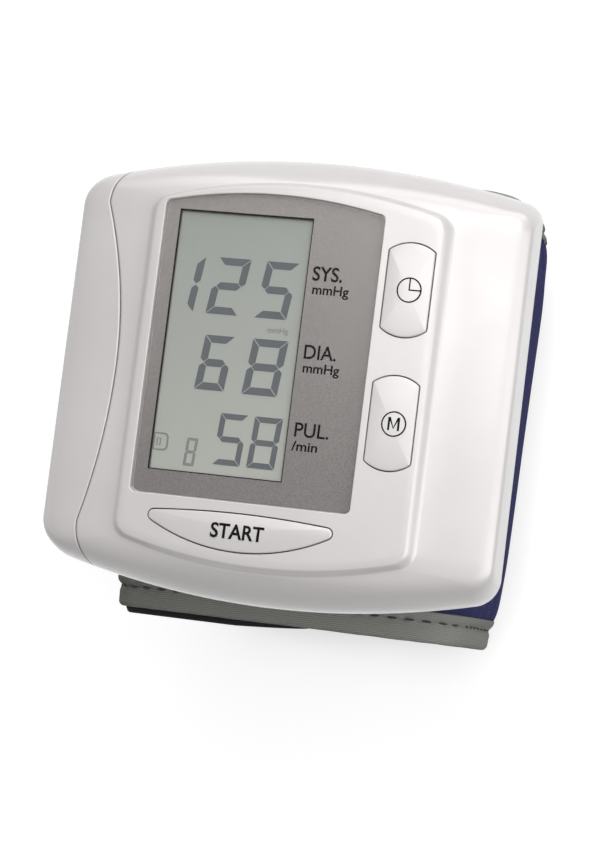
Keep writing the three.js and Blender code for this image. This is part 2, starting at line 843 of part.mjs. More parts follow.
// Buttons: the cap follows the crown of the platform, a flange keeps it in its well,
// and its stem stands on the plunger of a switch
const raised = platformRings(button_proud);
const crown_block = skin(
  [
    ring(flange_z, {
      half_width: platform_width / 2,
      half_length: platform_length / 2,
      bow: platform_bow,
      corner: platform_corner,
    }),
    raised.step[step_shares.length - 1],
    ...raised.crown,
  ],
  flat_ring,
);
const plunger_top_z = board_top_z + film_gap + switch_height + plunger_rise;
for (const button of buttons) {
  const cap_height = face_z + button_proud + cut_overrun - flange_z;
  const cap = prism(button.outline(0), flange_z, cap_height).intersect(crown_block);
  const flange = prism(button.outline(flange_width), flange_z, flange_thickness);
  const stem_z = plunger_top_z + film_gap;
  const stem = disc(button.x, button.y, stem_z, stem_radius, flange_z - stem_z + flange_thickness);
  add(`${button.name}_button`, cap.add(flange).add(stem), 'white');
  const switch_z = board_top_z + film_gap;
  const body = block(button.x, button.y, switch_z, switch_size, switch_size, switch_height);
  const bore = disc(button.x, button.y, switch_z - cut_overrun, plunger_radius + plunger_gap,
    switch_height + 2 * cut_overrun, tiny_sides);
  add(`${button.name}_switch`, body.subtract(bore), 'black');
  add(`${button.name}_plunger`, disc(button.x, button.y, plunger_top_z - plunger_length,
    plunger_radius, plunger_length, tiny_sides), 'brass');
}

// Screws of the housing
screws.forEach(({ x, y }, i) => {
  const head_z = screw_seat_z - film_gap - screw_head_height;
  add(`housing_screw_${i + 1}`, disc(x, y, head_z, screw_head_radius, screw_head_height)
    .add(disc(x, y, head_z, screw_radius, screw_head_height + screw_length, tiny_sides)), 'steel');
});

// Pump, valve and air block, joined by hoses
const motor_high_y = pump_low_y + motor_length;
const pump_head_y = motor_high_y + seat_gap;
const pump_nozzle = {
  x: pump_x - pump_nozzle_offset,
  y: pump_head_y + pump_head_length,
  z: pump_z,
};
add('pump_motor', bar(pump_x, pump_low_y, pump_z, motor_radius, motor_length, round_sides), 'steel');
add('pump_head', block(pump_x, pump_head_y + pump_head_length / 2, pump_z - pump_head_width / 2,
  pump_head_width, pump_head_length, pump_head_width)
  .add(bar(pump_nozzle.x, pump_nozzle.y - nozzle_length, pump_nozzle.z, nozzle_radius,
    2 * nozzle_length, tiny_sides)), 'inner');
const valve_high_y = valve_low_y + valve_length;
add('exhaust_valve', bar(valve_x, valve_low_y, valve_z, valve_radius, valve_length)
  .add(bar(valve_x, valve_high_y - nozzle_length, valve_z, nozzle_radius, 2 * nozzle_length,
    tiny_sides)), 'steel');

const block_z = floor_z + seat_gap;
const block_mid_z = block_z + block_size / 2;
const near_wall_z = cuff_height - cover_thickness - former_thickness - 2 * seat_gap;
function airBlock() {
  const body = block(block_x, block_y, block_z, block_size, block_size, block_size);
  const spigot_z = near_wall_z;
  const spigot = disc(block_x, block_y, spigot_z, spigot_radius, block_z - spigot_z + wall);
  const upper = disc(block_x, block_y, block_z + block_size - wall, nozzle_radius,
    nozzle_length + wall, tiny_sides);
  const forward = bar(block_x, block_y, block_mid_z, nozzle_radius,
    block_size / 2 + nozzle_length, tiny_sides);
  const side_length = block_size / 2 + nozzle_length;
  const side = new THREE.CylinderGeometry(nozzle_radius, nozzle_radius, side_length, tiny_sides)
    .rotateZ(Math.PI / 2)
    .translate(block_x - side_length / 2, block_y, block_mid_z);
  return body.add(spigot).add(upper).add(forward).add(solid(side));
}

add('air_block', airBlock(), 'inner');

// A hose follows one smooth curve that leaves each end straight along its nozzle
function hose(start, start_direction, end, end_direction) {
  const reach = (point, direction) => point.clone().addScaledVector(direction, hose_reach);
  const path = new THREE.CubicBezierCurve3(
    start,
    reach(start, start_direction),
    reach(end, end_direction),
    end,
  );
  const section = new THREE.Shape(arcPoints(0, 0, hose_radius, 0, 2 * Math.PI, hose_sides));
  section.holes.push(new THREE.Path(arcPoints(0, 0, hose_bore, 0, 2 * Math.PI, hose_sides)));
  const geometry = new THREE.ExtrudeGeometry(section, { steps: hose_steps, extrudePath: path });
  return solid(geometry);
}

const along_y = new THREE.Vector3(0, 1, 0);
const along_back_x = new THREE.Vector3(-1, 0, 0);
const block_front_y = block_y + block_size / 2 + seat_gap;
add('pump_hose', hose(
  new THREE.Vector3(pump_nozzle.x, pump_nozzle.y + seat_gap, pump_nozzle.z),
  along_y,
  new THREE.Vector3(block_x, block_front_y, block_mid_z),
  along_y,
), 'hose');
add('valve_hose', hose(
  new THREE.Vector3(valve_x, valve_high_y + seat_gap, valve_z),
  along_y,
  new THREE.Vector3(block_x - block_size / 2 - seat_gap, block_y, block_mid_z),
  along_back_x,
), 'hose');
const sensor_hose_z = block_z + block_size + film_gap;
const sensor_hose_height = sensor_z - film_gap - sensor_hose_z;
add('sensor_hose', disc(block_x, block_y, sensor_hose_z, hose_radius, sensor_hose_height)
  .subtract(disc(block_x, block_y, sensor_hose_z - cut_overrun, hose_bore,
    sensor_hose_height + 2 * cut_overrun, tiny_sides)), 'hose');

// Two cells laid one above the other, head to tail, between their contacts
const contact_y = bay_length / 2 - seat_gap - contact_thickness;
const cell_head_y = contact_y - seat_gap;
const cells = [
  { name: 'battery_1', z: cell_high_z, side: 1 },
  { name: 'battery_2', z: cell_low_z, side: -1 },
];

class ConeCoil extends THREE.Curve {
  constructor(z, start_y, end_y) {
    super();
    this.place = { z, start_y, end_y };
  }

  getPoint(t) {
    const { z, start_y, end_y } = this.place;
    const angle = t * spring_turns * 2 * Math.PI;
    const radius = between(spring_base_radius, spring_tip_radius, t);
    return new THREE.Vector3(
      bay_x + radius * Math.cos(angle),
      between(start_y, end_y, t),
      z + radius * Math.sin(angle),
    );
  }
}

for (const [i, cell] of cells.entries()) {
  const body_length = cell_length - nub_length;
  const tail_y = cell_head_y - cell_length;
  const body_y = cell.side > 0 ? tail_y : -tail_y - body_length;
  const nub_y = cell.side > 0 ? cell_head_y - 2 * nub_length : -cell_head_y;
  add(cell.name, bar(bay_x, body_y, cell.z, cell_radius, body_length, round_sides)
    .add(bar(bay_x, nub_y, cell.z, nub_radius, 2 * nub_length, tiny_sides)), 'cell');
  const foot_y = -cell.side * (contact_y - film_gap - spring_wire / 2);
  const tip_y = cell.side * (tail_y - seat_gap - spring_wire / 2);
  const wire = new THREE.Shape(arcPoints(0, 0, spring_wire / 2, 0, 2 * Math.PI, spring_sides));
  const coil = new THREE.ExtrudeGeometry(wire, {
    steps: spring_turns * spring_steps,
    extrudePath: new ConeCoil(cell.z, foot_y, tip_y),
  });
  add(`battery_spring_${i + 1}`, solid(coil), 'steel');
}

const contact_mid_y = contact_y + contact_thickness / 2;
add('bridge_contact', block(bay_x, -contact_mid_y, cell_low_z - contact_height / 2, contact_width,
  contact_thickness, cell_high_z - cell_low_z + contact_height), 'steel');
for (const [name, z] of [['positive_contact', cell_high_z], ['negative_contact', cell_low_z]]) {
  add(name, block(bay_x, contact_mid_y, z - contact_height / 2, contact_width,
    contact_thickness, contact_height), 'steel');
}

// The cuff's ring, seen from its end: a flat-topped oval whose four quarters have
// their own half sizes, so that the strap can lap outside the base
const ring_half = (cuff_height + cuff_flat) / 2;
const ring_z = cuff_height - ring_half;
const lap = strap_thickness + hook_thickness + 2 * seat_gap;
const base_ring = { left: cuff_left, right: cuff_right, top: ring_half, low: ring_half - lap };
const strap_ring = { left: cuff_left + lap, right: cuff_right, top: ring_half, low: ring_half };

function ringPoint(sizes, angle) {
  const [c, s] = [Math.cos(angle), Math.sin(angle)];
  const power = s > 0 ? near_power : far_power;
  const across = Math.abs(c) / (c > 0 ? sizes.right : sizes.left);
  const up = Math.abs(s) / (s > 0 ? sizes.top : sizes.low);
  const radius = (across ** power + up ** power) ** (-1 / power);
  return new THREE.Vector2(cuff_x + radius * c, ring_z + radius * s);
}

const radians = THREE.MathUtils.degToRad;
const slight_turn = radians(band_step_angle) / band_step_angle;

// A band follows the ring. Its section is a list of points: y along the arm, and how
// far out from the ring's outline. It is flat where it rests on the floor.
function band(sizes, from, to, section) {
  const stations = [from];
  for (let i = Math.floor(from / band_step_angle) + 1; i * band_step_angle < to; i += 1) {
    stations.push(i * band_step_angle);
  }
  stations.push(to);
  const loops = [];
  for (const station of stations) {
    const angle = radians(station);
    const point = ringPoint(sizes, angle);
    const along = ringPoint(sizes, angle + slight_turn).sub(ringPoint(sizes, angle - slight_turn));
    const out = new THREE.Vector2(along.y, -along.x).normalize();
    loops.push(section.map((p) => new THREE.Vector3(
      point.x + out.x * p.y,
      p.x,
      Math.max(point.y + out.y * p.y, ground_z),
    )));
  }
  return skin(loops, section);
}

// The padded section: full in the middle and drawn in towards the stitched edges
const pad_edge = cuff_length / 2 - bead_width;
const base_thickness = cover_thickness + former_thickness + bladder_thickness
  + lining_thickness + 3 * seat_gap;
const edge_depth = edge_sink + 2 * edge_thickness + seat_gap;
const drawn = (y) => (Math.abs(y) / pad_edge) ** crown_power;
const outerFace = (y) => -edge_sink * drawn(y);
const innerFace = (y, thickness) => -between(thickness, edge_depth, drawn(y));
const pad_shares = [0, 0.75, 0.9, 1];
const pad_ys = [
  ...[...pad_shares].reverse().map((share) => -share * pad_edge),
  ...pad_shares.slice(1).map((share) => share * pad_edge),
];

function layer(outer, inner) {
  return [
    ...pad_ys.map((y) => new THREE.Vector2(y, outer(y))),
    ...[...pad_ys].reverse().map((y) => new THREE.Vector2(y, inner(y))),
  ];
}

function strip(width, outer, thickness) {
  return [
    new THREE.Vector2(-width / 2, outer),
    new THREE.Vector2(width / 2, outer),
    new THREE.Vector2(width / 2, outer - thickness),
    new THREE.Vector2(-width / 2, outer - thickness),
  ];
}

// The binding clips round the edge: a flap on either face and a round bead beyond
function bindingSection(side, thickness) {
  const tip = pad_edge - flap_width;
  const slot = pad_edge + seat_gap;
  const end = cuff_length / 2;
  const waist = end - bead_width / 4;
  const outer = (y) => outerFace(Math.min(y, pad_edge)) + seat_gap;
  const inner = (y) => innerFace(Math.min(y, pad_edge), thickness) - seat_gap;
  const middle = (outer(slot) + inner(slot)) / 2;
  const points = [
    [tip, outer(tip) + flap_thickness],
    [pad_edge, outer(slot) + flap_thickness / 2],
    [slot + bead_width / 4, outer(slot) + flap_thickness],
    [waist, outer(slot)],
    [end, middle],
    [waist, inner(slot)],
    [slot + bead_width / 4, inner(slot) - flap_thickness],
    [pad_edge, inner(slot) - flap_thickness],
    [tip, inner(tip) - flap_thickness],
    [tip, inner(tip)],
    [slot, inner(slot)],
    [slot, outer(slot)],
    [tip, outer(tip)],
  ];
  return points.map(([y, out]) => new THREE.Vector2(side * y, out));
}

// The hinge line is where the strap leaves the base, on the outer face of the band
const hinge_half_gap = seat_gap / 2 / ring_half * (180 / Math.PI);
const base_from = hinge_angle + hinge_half_gap;
const strap_to = hinge_angle - hinge_half_gap;
const base_outer = -cover_thickness - seat_gap;
const bladder_outer = base_outer - former_thickness - seat_gap;
const lining_outer = (y) => innerFace(y, base_thickness) + between(lining_thickness,
  edge_thickness, drawn(y));
const cover_inner = (y) => outerFace(y) - between(cover_thickness, edge_thickness, drawn(y));

function cuffCover() {
  let cover = band(base_ring, base_from, base_end_angle, layer(outerFace, cover_inner));
  const hole_z = near_wall_z;
  const hole_height = cuff_height + cut_overrun - hole_z;
  for (const y of [-stud_y, stud_y]) {
    cover = cover.subtract(disc(block_x, y, hole_z, stud_radius + seat_gap, hole_height));
  }
  return cover.subtract(disc(block_x, block_y, hole_z, spigot_radius + seat_gap, hole_height));
}

// Springy plastic plate inside the cuff, screwed through its studs to the rear shell
function cuffFormer() {
  const { from, to } = former_angles;
  let former = band(base_ring, from, to, strip(former_width, base_outer, former_thickness));
  const plate_z = cuff_height + base_outer - former_thickness / 2;
  const stud_top_z = floor_z - film_gap;
  for (const y of [-stud_y, stud_y]) {
    former = former.add(disc(block_x, y, plate_z, stud_radius, stud_top_z - plate_z));
    const pilot_z = stud_top_z - anchor_screw_length - seat_gap;
    const pilot_height = anchor_screw_length + 2 * seat_gap;
    former = former.subtract(disc(block_x, y, pilot_z, screw_radius + screw_gap, pilot_height,
      tiny_sides));
  }
  const hole_z = plate_z - former_thickness;
  return former.subtract(disc(block_x, block_y, hole_z, port_radius + seat_gap,
    2 * former_thickness));
}

add('cuff_cover', cuffCover(), 'navy');
add('cuff_former', cuffFormer(), 'inner');
for (const [i, y] of [-stud_y, stud_y].entries()) {
  const head_z = floor_z + film_gap;
  const shank_z = head_z - anchor_screw_length;
  add(`anchor_screw_${i + 1}`, disc(block_x, y, head_z, anchor_head_radius, anchor_head_height)
    .add(disc(block_x, y, shank_z, screw_radius, anchor_screw_length + anchor_head_height / 2,
      tiny_sides)), 'steel');
}

const bladder = band(base_ring, bladder_angles.from, bladder_angles.to,
  strip(bladder_width, bladder_outer, bladder_thickness));
add('air_bladder', bladder, 'dark');
const port_z = cuff_height + bladder_outer + film_gap;
const port_height = former_thickness + seat_gap;
add('air_port', disc(block_x, block_y, port_z, port_radius, port_height)
  .subtract(disc(block_x, block_y, port_z - cut_overrun, spigot_radius + screw_gap,
    port_height + 2 * cut_overrun)), 'inner');
add('cuff_lining', band(base_ring, base_from, base_end_angle,
  layer(lining_outer, (y) => innerFace(y, base_thickness))), 'dark');

add('cuff_strap', band(strap_ring, strap_end_angle, strap_to,
  layer(outerFace, (y) => innerFace(y, strap_thickness))), 'navy');
for (const [name, side] of [['lower', -1], ['upper', 1]]) {
  add(`cuff_binding_${name}`, band(base_ring, base_from, base_end_angle,
    bindingSection(side, base_thickness)), 'grey');
  add(`strap_binding_${name}`, band(strap_ring, strap_end_angle, strap_to,
    bindingSection(side, strap_thickness)), 'grey');
}
add('hook_pad', band(strap_ring, hook_angles.from, hook_angles.to,
  strip(hook_width, -strap_thickness - seat_gap, hook_thickness)), 'dark');

export default model;
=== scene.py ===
# A wrist blood pressure monitor, lying display up on its closed cuff.
#
# Lengths in this script are millimetres, and MM turns them into Blender's metres. X runs
# across the wrist, Y along the forearm to the top of the display, and Z up out of the
# display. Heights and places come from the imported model's own nodes.

import json
import math

import bmesh
import bpy
from mathutils import Matrix, Vector, noise
from mathutils.bvhtree import BVHTree
from mathutils.interpolate import poly_3d_calc


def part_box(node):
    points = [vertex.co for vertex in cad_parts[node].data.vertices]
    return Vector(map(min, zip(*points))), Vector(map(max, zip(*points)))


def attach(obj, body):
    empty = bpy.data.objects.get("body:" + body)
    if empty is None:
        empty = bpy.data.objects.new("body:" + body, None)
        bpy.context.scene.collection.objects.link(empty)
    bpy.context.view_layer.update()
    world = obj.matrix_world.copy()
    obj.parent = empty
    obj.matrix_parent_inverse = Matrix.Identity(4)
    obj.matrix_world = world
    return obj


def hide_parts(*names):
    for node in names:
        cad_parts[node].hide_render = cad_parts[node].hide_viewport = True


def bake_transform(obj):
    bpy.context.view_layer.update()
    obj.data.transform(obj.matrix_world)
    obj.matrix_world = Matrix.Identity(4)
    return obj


MM = 0.001

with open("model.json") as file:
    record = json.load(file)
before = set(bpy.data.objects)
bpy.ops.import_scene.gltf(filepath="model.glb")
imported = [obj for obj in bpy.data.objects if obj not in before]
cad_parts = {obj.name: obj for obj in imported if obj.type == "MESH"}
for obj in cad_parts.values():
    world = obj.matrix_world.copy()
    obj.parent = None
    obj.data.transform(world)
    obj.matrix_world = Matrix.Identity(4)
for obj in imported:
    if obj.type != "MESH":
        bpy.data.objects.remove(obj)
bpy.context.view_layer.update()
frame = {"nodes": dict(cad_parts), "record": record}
nodes = frame["nodes"]


def corners(node):
    """Lowest and highest corner of a node, in millimetres."""
    low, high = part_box(node)
    return low / MM, high / MM


# ------------------------------------------------------------------ heights and sizes

front_low, front_high = corners("front_shell")
lens_low, lens_high = corners("display_lens")
mask_low, mask_high = corners("display_mask")
glass_low, glass_high = corners("lcd_glass")

BACK_Z = corners("rear_shell")[0].z
HOUSING_DEPTH = 30.0
FACE_Z = BACK_Z + HOUSING_DEPTH
PARTING_Z = front_low.z
HALF_WIDTH = front_high.x
HALF_LENGTH = front_high.y
WALL = 2.0
FRONT_BOW = 3.6
# Corner radius of each quarter, keyed by the signs of x and y
CORNERS = {(1, 1): 3.0, (-1, 1): 5.4, (-1, -1): 5.4, (1, -1): 4.3}
REVEAL = 0.5
BACK_HALF_WIDTH = 30.0
BACK_HALF_LENGTH = 31.6
BACK_EDGE = 2.0
BACK_INNER_EDGE = 0.4
LIP_EDGE = 0.3
# How finely the housing's quarters are drawn
FINE = {"corner_steps": 14, "end_steps": 20}

FOOT = {"half_width": 23.35, "half_length": 28.9, "bow": 2.8, "corner": 3.2}
PLATFORM = {"half_width": 21.7, "half_length": 27.75, "bow": 2.4, "corner": 2.4}
PLATFORM_STEP = 1.3
PLATFORM_CROWN = 0.4
FOOT_Z = FACE_Z - PLATFORM_CROWN - PLATFORM_STEP
# How late the shoulders lean in towards the platform: right side, left side and ends
SIDE_POWER = 18
LEFT_POWER = 10
END_POWER = 2.2
# How much further out the left side stands
LEFT_SPREAD = 0.9
DRAFT_POWER = 1.5
CELL_HEADROOM = 0.3

PANEL_X = (lens_low.x + lens_high.x) / 2
PANEL_HALF_WIDTH = (lens_high.x - lens_low.x) / 2
PANEL_LOW_Y = lens_low.y
PANEL_ARCH = 1.75
PANEL_HIGH_Y = lens_high.y - PANEL_ARCH
PANEL_CORNER = 0.9
POCKET_GAP = 0.2
LEDGE = 0.9
WINDOW = {"x": -8.05, "y": 4.15, "half_width": 10.15, "half_length": 19.25}

KEY_X = 17.66
CLOCK_Y = 14.2
MEMORY_Y = -5.15
KEY = {"half_width": 3.4, "half_length": 6.85, "bow": 0.95, "corner": 0.3}
START = {"x": -3.12, "y": -21.9, "half_width": 14.0, "rise": 1.4, "belly": 4.1, "end": 0.8}
KEY_GAP = 0.15
KEY_PROUD = 0.12
KEY_EDGE = 0.22
KEY_PILLOW = 0.18
# Rounded mouths of the wells and of the display's pocket
MOUTH_EDGE = 0.13
MOUTH_TURN = math.radians(80)
POCKET_EDGE = 0.18

SEAM_MIDDLE = 25.6
SEAM_REACH = 24.0
SEAM_BOW = 3.2
SEAM_FLARE = 3.7
# How much more bow and flare the seam has in the upper half
SEAM_TOP_EXTRA = 1.3
SEAM_GAP = 0.1
SEAM_LIP = 0.4

# The walls round the battery bay, the posts and sinks of the housing's screws, and the
# cover's tabs
BAY_LEFT = -29.0
BAY_GAP = 0.3
BAY_WALL = 1.2
BAY_LAP = 0.6
BAY_BELOW_CELL = 0.8
POST_RADIUS = 3.0
POST_BELOW_TIP = 3.1
SINK_RADIUS = 2.2
SINK_ABOVE_HEAD = 1.35
TAB = {"left": -30.3, "right": -23.3, "y": 9, "half_length": 4, "thickness": 0.7}
TAB_HEIGHTS = (BACK_Z + WALL + 0.2, FOOT_Z - WALL - 1.65)


def put(name, data):
    """A new object in the scene."""
    obj = bpy.data.objects.new(name, data)
    bpy.context.scene.collection.objects.link(obj)
    return obj


def between(start, end, share):
    return start + (end - start) * share


def clamped(value):
    return min(1.0, max(0.0, value))


def eased(share):
    return share * share * (3 - 2 * share)


# ------------------------------------------------------------------ the camera

# Pixels of the photograph's frame, 600 by 868
PHOTO_SIZE = (600, 868)
FACE_CENTRE_PIXEL = (285.0, 375.0)
# The point of the platform that is seen there
FACE_CENTRE = Vector((1.05, 0.3, FACE_Z))
CAMERA_YAW = math.radians(16.0)
CAMERA_PITCH = math.radians(-4.31)
CAMERA_ROLL = math.radians(7.07)
CAMERA_DISTANCE = 362.5
FOCAL_PIXELS = 2501.0
SENSOR = 36.0


def add_camera():
    """A camera right of and a little below the display's normal, turned clockwise."""
    back = Vector((
        math.sin(CAMERA_YAW) * math.cos(CAMERA_PITCH),
        math.sin(CAMERA_PITCH),
        math.cos(CAMERA_YAW) * math.cos(CAMERA_PITCH),
    ))
    level = Vector((math.cos(CAMERA_YAW), 0, -math.sin(CAMERA_YAW)))
    up = back.cross(level)
    across = level * math.cos(CAMERA_ROLL) + up * math.sin(CAMERA_ROLL)
    over = up * math.cos(CAMERA_ROLL) - level * math.sin(CAMERA_ROLL)
    off_x = FACE_CENTRE_PIXEL[0] - PHOTO_SIZE[0] / 2
    off_y = PHOTO_SIZE[1] / 2 - FACE_CENTRE_PIXEL[1]
    pixel = CAMERA_DISTANCE / FOCAL_PIXELS
    place = FACE_CENTRE + back * CAMERA_DISTANCE - (across * off_x + over * off_y) * pixel
    turn = Matrix((across, over, back)).transposed().to_4x4()
    data = bpy.data.cameras.new("camera")
    data.sensor_width = SENSOR
    data.lens = FOCAL_PIXELS / PHOTO_SIZE[1] * SENSOR
    data.clip_start = 0.01
    data.clip_end = 20
    camera = put("camera", data)
    camera.matrix_world = Matrix.Translation(place * MM) @ turn
    bpy.context.scene.camera = camera


# ------------------------------------------------------------------ mesh helpers


def make_object(name, points, faces, sharp=40):
    """A smooth-shaded mesh object from millimetre points, with creases kept sharp."""
    mesh = bpy.data.meshes.new(name)
    mesh.from_pydata([Vector(p) * MM for p in points], [], faces)
    mesh.validate()
    obj = put(name, mesh)
    shade(obj, sharp)
    return obj


def shade(obj, sharp):
    obj.data.shade_smooth()
    obj.data.set_sharp_from_angle(angle=math.radians(sharp))


def face_outwards(obj):
    """Turns a closed mesh's faces outwards."""
    work = bmesh.new()
    work.from_mesh(obj.data)
    bmesh.ops.recalc_face_normals(work, faces=work.faces)
    work.to_mesh(obj.data)
    work.free()


def evaluated(obj):
    return obj.evaluated_get(bpy.context.evaluated_depsgraph_get())


def bake(obj):
    """Applies the modifiers."""
    mesh = bpy.data.meshes.new_from_object(evaluated(obj))
    obj.modifiers.clear()
    old = obj.data
    obj.data = mesh
    mesh.name = obj.name
    bpy.data.meshes.remove(old)


def combine(obj, operation, *tools):
    """Cuts the tools from an object, adds them, or keeps what they share."""
    for tool in tools:
        modifier = obj.modifiers.new(operation.lower(), "BOOLEAN")
        modifier.operation = operation
        modifier.solver = "EXACT"
        modifier.object = tool
    bake(obj)
    for tool in tools:
        bpy.data.objects.remove(tool)
    shade(obj, 30)


def keep_curves(obj, *sources):
    """Gives the parts of a cut piece that still lie on its first forms their smooth normals."""
    trees = []
    for source in sources:
        mesh = source.data
        points = [v.co.copy() for v in mesh.vertices]
        tree = BVHTree.FromPolygons(points, [tuple(f.vertices) for f in mesh.polygons])
        trees.append((tree, mesh, [v.normal.copy() for v in mesh.vertices]))
    mesh = obj.data
    normals = [corner.vector.copy() for corner in mesh.corner_normals]
    for face in mesh.polygons:
        for loop_index in face.loop_indices:
            spot = mesh.vertices[mesh.loops[loop_index].vertex_index].co
            for tree, source, smooth in trees:
                found, flat, number, far = tree.find_nearest(spot, 0.02 * MM)
                if found is None or flat.dot(face.normal) < 0.9:
                    continue
                ring = list(source.polygons[number].vertices)
                shares = poly_3d_calc([source.vertices[i].co for i in ring], found)
                turned = sum((smooth[i] * share for i, share in zip(ring, shares)), Vector())
                if turned.dot(face.normal) > 0.85:
                    normals[loop_index] = turned.normalized()
                break
    mesh.normals_split_custom_set(normals)
    for source in sources:
        bpy.data.objects.remove(source)


def loft(name, rings, sharp=40):
    """Skin over a row of closed rings that have as many points each."""
    count = len(rings[0])
    points = [p for ring in rings for p in ring]
    faces = []
    for row in range(len(rings) - 1):
        for k in range(count):
            a, b = row * count + k, row * count + (k + 1) % count
            faces.append((a, b, b + count, a + count))
    last = (len(rings) - 1) * count
    faces.append(tuple(reversed(range(count))))
    faces.append(tuple(range(last, last + count)))
    obj = make_object(name, points, faces, sharp)
    face_outwards(obj)
    return obj


def at_height(outline, z):
    """An outline's points at a height, which may be a function of x and y."""
    if callable(z):
        return [(x, y, z(x, y)) for x, y in outline]
    return [(x, y, z) for x, y in outline]


def prism(name, outline, low, high):
    return loft(name, [at_height(outline, low), at_height(outline, high)])


def drum(name, x, y, low, high, radius):
    return prism(name, circle(x, y, radius, 32), low, high)


def brick(name, low, high):
    (x0, y0, z0), (x1, y1, z1) = low, high
    return prism(name, [(x0, y0), (x1, y0), (x1, y1), (x0, y1)], z0, z1)


def dress(obj, body, material, *stands_for, slot=None):
    """Gives a finished piece its material and its body, and hides the nodes it replaces."""
    obj.data.materials.clear()
    obj.data.materials.append(material)
    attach(obj, body)
    if stands_for:
        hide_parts(*stands_for)


# ------------------------------------------------------------------ outlines


def arc(x, y, radius, start, end, steps):
    turns = [start + (end - start) * i / steps for i in range(steps + 1)]
    return [(x + radius * math.cos(turn), y + radius * math.sin(turn)) for turn in turns]


def circle(x, y, radius, steps=48):
    return arc(x, y, radius, 0, 2 * math.pi, steps)[:-1]


def barrel(half_width, half_length, bow, corner, corner_steps=10, end_steps=18, side_steps=14):
    """Straight sides, bowed ends and round corners, anticlockwise from +X."""
    run = half_width - corner
    end_radius = (run * run + bow * bow) / (2 * bow)
    lean = math.asin(run / (end_radius - corner))
    end_y = half_length - end_radius
    corner_y = end_y + (end_radius - corner) * math.cos(lean)
    turn = math.pi / 2 - lean
    quarter = arc(run, corner_y, corner, 0, turn, corner_steps)
    quarter += arc(0, end_y, end_radius, turn, math.pi / 2, end_steps)[1:]
    back = quarter[-2::-1]
    side = [between(-corner_y, corner_y, i / side_steps) for i in range(1, side_steps)]
    return (
        quarter
        + [(-x, y) for x, y in back]
        + [(-half_width, -y) for y in side]
        + [(-x, -y) for x, y in quarter]
        + [(x, -y) for x, y in back]
        + [(half_width, y) for y in side]
    )


def quartered(shape):
    """A barrel whose quarters differ. shape gives barrel's values for a quarter."""
    whole = {quarter: barrel(**shape(quarter), **FINE) for quarter in CORNERS}
    return [
        whole[1 if x >= 0 else -1, 1 if y >= 0 else -1][k] for k, (x, y) in enumerate(whole[1, 1])
    ]


def key_outline(y, grow):
    outline = barrel(KEY["half_width"] + grow, KEY["half_length"] + grow, KEY["bow"],
                     KEY["corner"] + grow, corner_steps=6, end_steps=6)
    return [(KEY_X + px, y + py) for px, py in outline]


def start_outline(grow):
    """A shallow arc above and a deep one below, on round ends."""
    end = START["end"] + grow
    rise = START["rise"] + grow
    belly = START["belly"] + grow
    run = START["half_width"] + grow - end
    x, y = START["x"], START["y"]

    def arc_radius(depth):
        return (run * run / (depth - end) + end + depth) / 2

    top, low = arc_radius(rise), arc_radius(belly)
    top_lean, low_lean = math.asin(run / (top - end)), math.asin(run / (low - end))
    right = math.pi / 2
    return (
        arc(x, y + rise - top, top, right - top_lean, right + top_lean, 24)
        + arc(x - run, y, end, right + top_lean, 3 * right - low_lean, 8)[1:]
        + arc(x, y - belly + low, low, 3 * right - low_lean, 3 * right + low_lean, 30)[1:]
        + arc(x + run, y, end, low_lean - right, right - top_lean, 8)[1:-1]
    )


def panel_outline(grow):
    """The display panel: straight sides and foot, arched head."""
    half = PANEL_HALF_WIDTH + grow
    low, high = PANEL_LOW_Y - grow, PANEL_HIGH_Y + grow
    r = PANEL_CORNER
    right = math.pi / 2
    head = []
    for i in range(1, 32):
        share = 1 - i / 16
        head.append((PANEL_X + (half - r) * share, high + PANEL_ARCH * (1 - share * share)))
    return (
        arc(PANEL_X + half - r, low + r, r, -right, 0, 6)
        + arc(PANEL_X + half - r, high - r, r, 0, right, 6)
        + head
        + arc(PANEL_X - half + r, high - r, r, right, 2 * right, 6)
        + arc(PANEL_X - half + r, low + r, r, 2 * right, 3 * right, 6)
    )


def window_outline(grow):
    x, y = WINDOW["x"], WINDOW["y"]
    w, h = WINDOW["half_width"] + grow, WINDOW["half_length"] + grow
    return [(x - w, y - h), (x + w, y - h), (x + w, y + h), (x - w, y + h)]


# ------------------------------------------------------------------ the housing's forms


def mix(first, second, share):
    return {key: between(first[key], second[key], share) for key in first}


def crown(x, y):
    """Height of the crowned platform."""
    across = (x / PLATFORM["half_width"]) ** 2
    along = (y / PLATFORM["half_length"]) ** 2
    return FACE_Z - PLATFORM_CROWN * (across + along) / 2


def front_ring(inset, share, z):
    """One ring of the shoulders. share says how far up it is. The long sides stay upright
    almost to the top, the left one less so, and the bowed ends lean in sooner."""
    trim = min(inset, 1) * WALL / 3
    end = share**END_POWER

    def shape(quarter):
        right = quarter[0] > 0
        side = share ** (SIDE_POWER if right else LEFT_POWER)
        reach = HALF_WIDTH - inset + (0 if right else LEFT_SPREAD)
        return {
            "half_width": between(reach, FOOT["half_width"] - trim, side),
            "half_length": between(HALF_LENGTH - inset, FOOT["half_length"] - trim, end),
            "bow": between(FRONT_BOW, FOOT["bow"], end),
            "corner": between(CORNERS[quarter] - inset / 2, FOOT["corner"], end),
        }

    return at_height(quartered(shape), z)


def rounding(radius, steps, turn=math.pi / 2):
    """Points of a rounded edge, as how far they lie in from its side and down from its top."""
    for i in range(steps + 1):
        angle = turn * i / steps
        yield radius * (1 - math.cos(angle)), radius * (1 - math.sin(angle))


def shoulder_rings(inset, low, high, steps):
    rings = []
    for i in range(steps + 1):
        share = (i / steps) ** 0.5
        rings.append(front_ring(inset, share, between(low, high, share)))
    return rings


